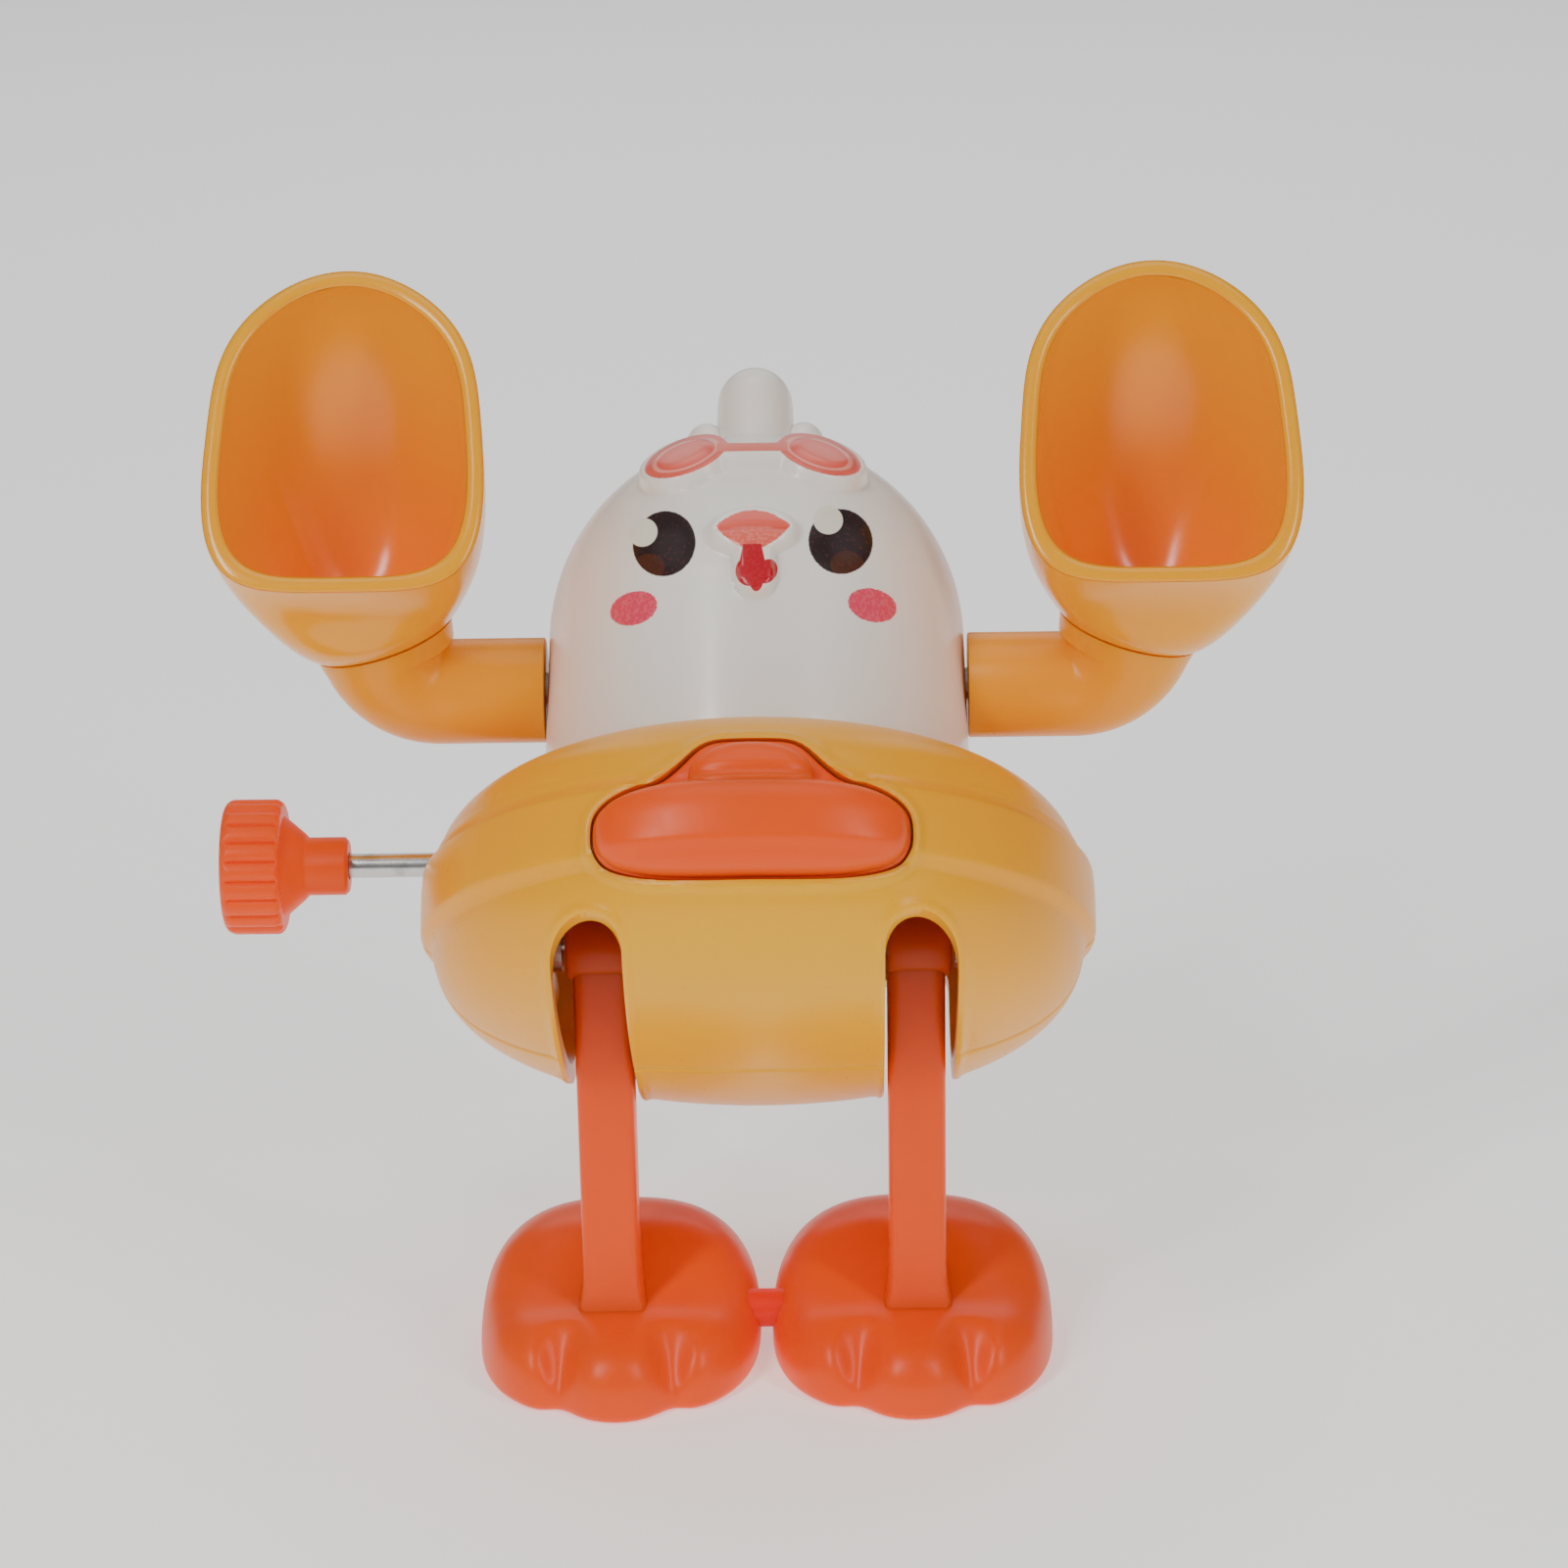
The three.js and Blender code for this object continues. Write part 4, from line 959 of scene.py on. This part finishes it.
def cup_finish(side):
    """Amber plastic that deepens from the rim to the floor of the cup."""
    c = colours()
    finish = Finish(f"cup_plastic_{side}", Subsurface_Weight=0.3, Subsurface_Radius=(1.0, 0.35, 0.1),
                    Subsurface_Scale=SCATTER, IOR=1.49, Specular_IOR_Level=0.5)
    drawn = finish.mapped(SHOULDER)
    # painted shade: yellow at the rim, amber deep in the cup
    tone = finish.mix(finish.attribute(), c.yellow, c.amber)
    tone = finish.mix((finish.grain(drawn, 0.05, 1.0) - 0.4) * 0.35, tone, c.amber)
    finish.drive("Base Color", tone)
    finish.drive("Roughness", 0.2 + (finish.grain(drawn, 0.8, 4.0) - 0.5) * 0.1)
    finish.bump(finish.grain(drawn, 6.0, 3.0) + finish.grain(drawn, 0.3, 1.0) * 2.0, 0.2, 0.02)
    return finish


def make_arms():
    # The arms share the ring's finish, with its painted shade towards the left and right and its painted light
    # underneath.
    look = ring_finish()
    for side, s in (("left", -1), ("right", 1)):
        arm = build(f"elbow_{side}", [arm_shell(s)], 40)
        finish_piece(arm, look, "arms", "yellow", f"arm_{side}")
        shell, shade = cup_shell(s)
        cup = build(f"scoop_{side}", [shell], 40, shade)
        finish_piece(cup, cup_finish(side), "arms", "amber", f"cup_{side}")


# ---- Legs and feet ----------------------------------------------------------------------------
LEG = {"x": 12.9, "half": 2.4, "deep": 2.5, "hub": 3.0, "hub_end": 15.8, "foot_x": 12.5}
FOOT = {"middle": -4.2, "reach": 14.0, "valley": 4.8, "furrow": 3.2, "edge": 0.9, "toes": 6.6}
TAIL = {"rise": math.radians(9.8), "reach": 11.0, "radius": 1.9, "slot_start": 6.0, "slot": 0.9,
        "thick": 2.2}


def toe_valley(across):
    """1 along the two valleys between the toes, falling to 0 beside them."""
    return bell(np.abs(across), FOOT["valley"], 1.5)


def foot_shell(s):
    """One foot over a round-cornered outline with three toes.

    The outline is |a|^p + |f|^p = 1, drawn in by 0.9 mm at the valleys between the toes and out by 1 mm at
    the middle toe. The top is (H - e)(1 - q^n)^(1/2.6) over the edge e, where q runs from the middle to the
    outline, n from 3 at the heel to 6.5 at the toes, and H is the local height: low over the toes, round
    over the heel, with a furrow behind each valley.
    """
    z = sizes()
    t = full_turn(224)
    a = z.foot_width * signed_power(np.sin(t), 2 / 2.7)
    f = FOOT["middle"] + FOOT["reach"] * signed_power(np.cos(t), 2 / 2.5)
    f = f + (bell(a, 0.0, 3.2) - 0.9 * toe_valley(a)) * step_up(f, 2, 6)
    outline = coords(a, f)
    middle = np.array([0.0, FOOT["middle"]])
    q = 1 - (1 - np.linspace(0, 1, 60)) ** 2.2
    flat = middle + q[1:, None, None] * (outline - middle)
    across, ahead = flat[..., 0], flat[..., 1]
    heel = (z.foot_height - FOOT["toes"]) * step_up(-ahead, -2.5, 8)
    high = FOOT["toes"] + heel - FOOT["furrow"] * toe_valley(across) * step_up(ahead, 4, 8.5)
    blunt = 3 + 3.5 * step_up(ahead, -2, 5)
    up = FOOT["edge"] + (high - FOOT["edge"]) * (1 - q[1:, None] ** blunt) ** (1 / 2.6)
    top = coords(across, -ahead, up)
    turn = np.linspace(0, math.pi / 2, 6)[1:]
    inward = outline - middle
    inward = inward / np.linalg.norm(inward, axis=1)[:, None]
    under = outline - (FOOT["edge"] * inward) * (1 - np.cos(turn))[:, None, None]
    sole = coords(under[..., 0], -under[..., 1], FOOT["edge"] * (1 - np.sin(turn))[:, None])
    rings = np.concatenate([top, sole])
    return closed_grid(rings + [s * LEG["foot_x"], HIP[1], 0])


def leg_shells(s):
    """The leg's bar, its round hub on the hip pivot, and the flat tail with the crank's slot."""
    t = full_turn(64)
    section = rounded_box(t, LEG["half"], LEG["deep"], 2 / 7)
    z = np.concatenate([np.linspace(4.0, 9.0, 12), np.linspace(10, HIP[2], 20)])
    flare = 1 + 0.16 * np.exp(-((z - 6.9) / 1.0))[:, None] * (z > 5.5)[:, None]
    flare = np.minimum(flare, 1.22)
    bar = coords(s * LEG["x"] + section[:, 0] * flare, HIP[1] + section[:, 1] * flare, z[:, None])
    inner = s * (LEG["x"] - LEG["half"])
    hub = rounded_rod([inner, *HIP[1:]], [s * LEG["hub_end"], *HIP[1:]], LEG["hub"], 0.5, 64)
    rise = TAIL["rise"]
    along = np.array([0, math.cos(rise), math.sin(rise)])
    over = np.array([0, -math.sin(rise), math.cos(rise)])
    rim, hole = [
        HIP + (np.where(np.cos(t) > 0, TAIL["reach"], low) + radius * np.cos(t))[:, None] * along
        + (radius * np.sin(t))[:, None] * over
        for low, radius in ((0.0, TAIL["radius"]), (TAIL["slot_start"], TAIL["slot"]))]
    x_near, x_far = np.array([inner, 0, 0]), np.array([inner + s * TAIL["thick"], 0, 0])
    rings = np.stack([rim + x_near, rim + x_far, hole + x_far, hole + x_near, rim + x_near])
    return [closed_grid(bar), hub, (rings, [quads(5, len(t), True)])]


def make_legs():
    c = colours()
    look = moulded("leg_plastic", c.orange, c.ember, 0.34, 0.35)
    for side, s in (("left", -1), ("right", 1)):
        piece = build(f"webbed_leg_{side}", [foot_shell(s), *leg_shells(s)], 42)
        finish_piece(piece, look, "legs", "orange", f"leg_{side}")
    low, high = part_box("foot_link_pin")
    middle = (np.array(low) + np.array(high)) / 2 / MM
    reach = (high[0] - low[0]) / 2 / MM
    radius = (high[2] - low[2]) / 2 / MM
    ends = middle - [reach, 0, 0], middle + [reach, 0, 0]
    pin = build("toe_link", [rounded_rod(*ends, radius, 0.4, 40)], 40)
    glow = moulded("link_plastic", c.ember, (0.70, 0.02, 0.01), 0.38, 0.4)
    finish_piece(pin, glow, "legs", "red", "foot_link_pin")


# ---- Knob and shaft ---------------------------------------------------------------------------
KNOB = {"end": -44.0, "grip": 4.9, "radius": 5.6, "flutes": 20, "deep": 0.5, "cone": 2.0, "neck": 3.3,
        "neck_r": 2.4}


def make_winding():
    """The knob is a turned profile whose grip is drawn in by d (1 - |cos(n a / 2)|^0.55) between its ribs."""
    c = colours()
    start, grip_end = KNOB["end"], KNOB["end"] + KNOB["grip"]
    cone_end = grip_end + KNOB["cone"]
    end = cone_end + KNOB["neck"]
    r, corner = KNOB["radius"], 0.9
    t = np.linspace(0, math.pi / 2, 8)
    edge = coords(start + corner * (1 - np.cos(t)), r - corner + corner * np.sin(t))
    back = coords(grip_end - 0.7 * (1 - np.sin(t)), r - 0.7 * (1 - np.cos(t)))
    cone = np.array([
        [grip_end, 4.2], [grip_end + 0.25, 4.0], [cone_end - 0.3, 2.75], [cone_end, KNOB["neck_r"]],
        [end - 0.3, KNOB["neck_r"]], [end, KNOB["neck_r"] - 0.3], [end, 1.15], [end - 3, 1.15]])
    dish = np.array([[start + 0.6, 0.0], [start + 0.6, 3.2], [start + 0.1, 3.6], [start, 4.0]])
    profile = np.vstack([dish, edge[1:], np.array([[(start + grip_end) / 2, r]]), back, cone])
    around = full_turn(KNOB["flutes"] * 12)
    along = profile[:, 0]
    gripped = step_up(along, start + 0.2, start + 0.9) * (1 - step_up(along, grip_end - 0.35, grip_end))
    dip = KNOB["deep"] * (1 - np.abs(np.cos(KNOB["flutes"] * around / 2)) ** 0.55)
    radius = profile[:, 1:2] - gripped[:, None] * (profile[:, 1:2] > 4.4) * dip
    points = coords(profile[:, :1], KNOB_AXIS[1] + radius * np.cos(around),
                    KNOB_AXIS[2] + radius * np.sin(around))
    knob = build("key_knob", [closed_grid(points[1:])], 50)
    look = moulded("knob_plastic", c.orange, c.ember, 0.4, 0.3)
    finish_piece(knob, look, "winding", "orange", "winding_knob")
    low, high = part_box("winding_shaft")
    ends = [np.array([x / MM, *KNOB_AXIS[1:]]) for x in (low[0], high[0])]
    shaft = build("key_shaft", [rounded_rod(ends[0], ends[1], 1.0, 0.15, 48)], 50)
    finish_piece(shaft, steel_finish("drawn_steel"), "winding", "steel", "winding_shaft")


def steel_finish(name, tone=(0.62, 0.62, 0.60)):
    """Drawn steel: fine lines along X, light smudges and a few dark specks."""
    finish = Finish(name, Metallic=1.0, IOR=2.5)
    drawn = finish.mapped(np.zeros(3))
    stretch = {"Vector": drawn, "Scale": (0.15, 6.0, 6.0)}
    stretched = finish.node("ShaderNodeMapping", {"vector_type": "POINT"}, stretch)
    lines = finish.grain(stretched.outputs[0], 3.0, 4.0)
    smudge = finish.grain(drawn, 0.7, 3.0)
    dark = tuple(0.55 * v for v in tone)
    finish.drive("Base Color", finish.mix(smudge.below(0.42, 0.12) * 0.5, tone, dark))
    finish.drive("Roughness", 0.18 + lines * 0.16)
    finish.bump(lines, 0.15, 0.02)
    return finish


# ---- The clockwork, which keeps its CAD shapes -------------------------------------------------
def make_clockwork():
    """Gives each CAD node that still shows its plastic or steel."""
    nylon = moulded("natural_nylon", (0.78, 0.74, 0.64), (0.62, 0.55, 0.42), 0.45, 0.3)
    steel = steel_finish("turned_steel")
    blued = steel_finish("blued_spring", (0.10, 0.13, 0.18))
    looks = {"nylon": nylon, "steel": steel, "spring": blued}
    slots = {part["node"]: part["material_slot"] for part in frame["record"]["subparts"]}
    for name, node in frame["nodes"].items():
        if slots.get(name) in looks and name != "winding_shaft":
            node.data.materials.clear()
            node.data.materials.append(looks[slots[name]].material)


# ---- Stage ------------------------------------------------------------------------------------
VIEW = {"azimuth": math.radians(0.8), "elevation": math.radians(22), "roll": math.radians(1.0),
        "distance": 380.0, "width": 129.0, "side": 2.3, "over": 11.0, "sensor": 36.0}


def make_stage():
    """A plain pale floor, soft studio lights and the camera."""
    plane = np.array([[[-1500.0, -1500.0, 0], [1500, -1500, 0]], [[-1500, 1500, 0], [1500, 1500, 0]]])
    floor = build("floor", [(plane, [quads(2, 2, False)])])
    pale = Finish("pale_floor", Roughness=0.9, Emission_Color=(1.0, 1.0, 1.0, 1.0), Emission_Strength=0.5)
    pale.drive("Base Color", pale.mix(pale.grain(pale.mapped(np.zeros(3)), 0.004, 1.0) * 0.1,
                                      (0.93, 0.93, 0.93), (0.89, 0.89, 0.89)))
    floor.data.materials.append(pale.material)

    world = bpy.data.worlds.new("studio")
    world.use_nodes = True
    world.node_tree.nodes["Background"].inputs["Color"].default_value = (1.0, 1.0, 1.0, 1.0)
    world.node_tree.nodes["Background"].inputs["Strength"].default_value = 0.19
    bpy.context.scene.world = world
    target = Vector(RING_MIDDLE * MM)
    for name, place, size, energy in [
        ("key", (-0.28, -0.34, 0.42), (0.07, 0.34), 1.5),
        ("fill", (0.34, -0.30, 0.34), (0.05, 0.34), 0.8),
        ("top", (0.0, 0.10, 0.60), (0.5, 0.4), 0.9),
        ("back", (0.0, 0.50, 0.30), (0.5, 0.3), 0.45),
    ]:
        lamp = bpy.data.lights.new(name, "AREA")
        lamp.shape, lamp.size, lamp.size_y, lamp.energy = "RECTANGLE", size[0], size[1], energy
        holder = bpy.data.objects.new(name, lamp)
        holder.location = place
        holder.rotation_euler = (target - Vector(place)).to_track_quat("-Z", "Y").to_euler()
        bpy.context.scene.collection.objects.link(holder)

    az, el = VIEW["azimuth"], VIEW["elevation"]
    back = np.array([math.sin(az) * math.cos(el), -math.cos(az) * math.cos(el), math.sin(el)])
    right = np.array([math.cos(az), math.sin(az), 0.0])
    up = np.cross(back, right)
    aim = RING_MIDDLE + VIEW["side"] * right + VIEW["over"] * up
    lens = bpy.data.cameras.new("camera")
    lens.sensor_width = VIEW["sensor"]
    lens.lens = VIEW["sensor"] * VIEW["distance"] / VIEW["width"]
    lens.clip_start, lens.clip_end = 0.01, 10.0
    camera = bpy.data.objects.new("camera", lens)
    turn = Matrix([[right[i], up[i], back[i]] for i in range(3)]).to_4x4()
    spin = Matrix.Rotation(-VIEW["roll"], 4, "Z")
    camera.matrix_world = Matrix.Translation(Vector((aim + VIEW["distance"] * back) * MM)) @ turn @ spin
    bpy.context.scene.collection.objects.link(camera)
    bpy.context.scene.camera = camera


# ---- Operators, panel and registration ---------------------------------------------------------
def operator(identifier, label, text, make):
    def execute(self, context):
        make()
        return {"FINISHED"}

    return type(f"CHICK_OT_{identifier}", (bpy.types.Operator,), {
        "bl_idname": f"chick.{identifier}", "bl_label": label, "__doc__": text, "execute": execute})


OPERATORS = [
    operator("stage", "Stage", "Adds the floor, the lights and the camera", make_stage),
    operator("ring", "Swim ring", "Builds the two halves of the swim ring", make_ring),
    operator("bill", "Bill", "Builds the duck bill", make_bill),
    operator("head", "Head", "Builds the two halves of the head with the face", make_head),
    operator("arms", "Arms", "Builds the arms and their cups", make_arms),
    operator("legs", "Legs", "Builds the legs, the feet and their link", make_legs),
    operator("winding", "Winding", "Builds the knob and the shaft", make_winding),
    operator("clockwork", "Clockwork", "Finishes the motor's pieces", make_clockwork),
]


class CHICK_PT_panel(bpy.types.Panel):
    """Lists the chick's settings and operators."""

    bl_label = "Hopping Chick"
    bl_idname = "CHICK_PT_panel"
    bl_space_type = "VIEW_3D"
    bl_region_type = "UI"
    bl_category = "Chick"

    def draw(self, context):
        for group in (context.scene.chick_sizes, context.scene.chick_colours):
            for key in group.__annotations__:
                self.layout.prop(group, key)
        for kind in OPERATORS:
            self.layout.operator(kind.bl_idname)


CLASSES = [ChickSizes, ChickColours, *OPERATORS, CHICK_PT_panel]


def register():
    for kind in CLASSES:
        bpy.utils.register_class(kind)
    bpy.types.Scene.chick_sizes = bpy.props.PointerProperty(type=ChickSizes)
    bpy.types.Scene.chick_colours = bpy.props.PointerProperty(type=ChickColours)


def unregister():
    del bpy.types.Scene.chick_colours
    del bpy.types.Scene.chick_sizes
    for kind in reversed(CLASSES):
        bpy.utils.unregister_class(kind)


def main():
    register()
    for kind in OPERATORS:
        getattr(bpy.ops.chick, kind.bl_idname.split(".")[1])()


if __name__ == "__main__":
    main()
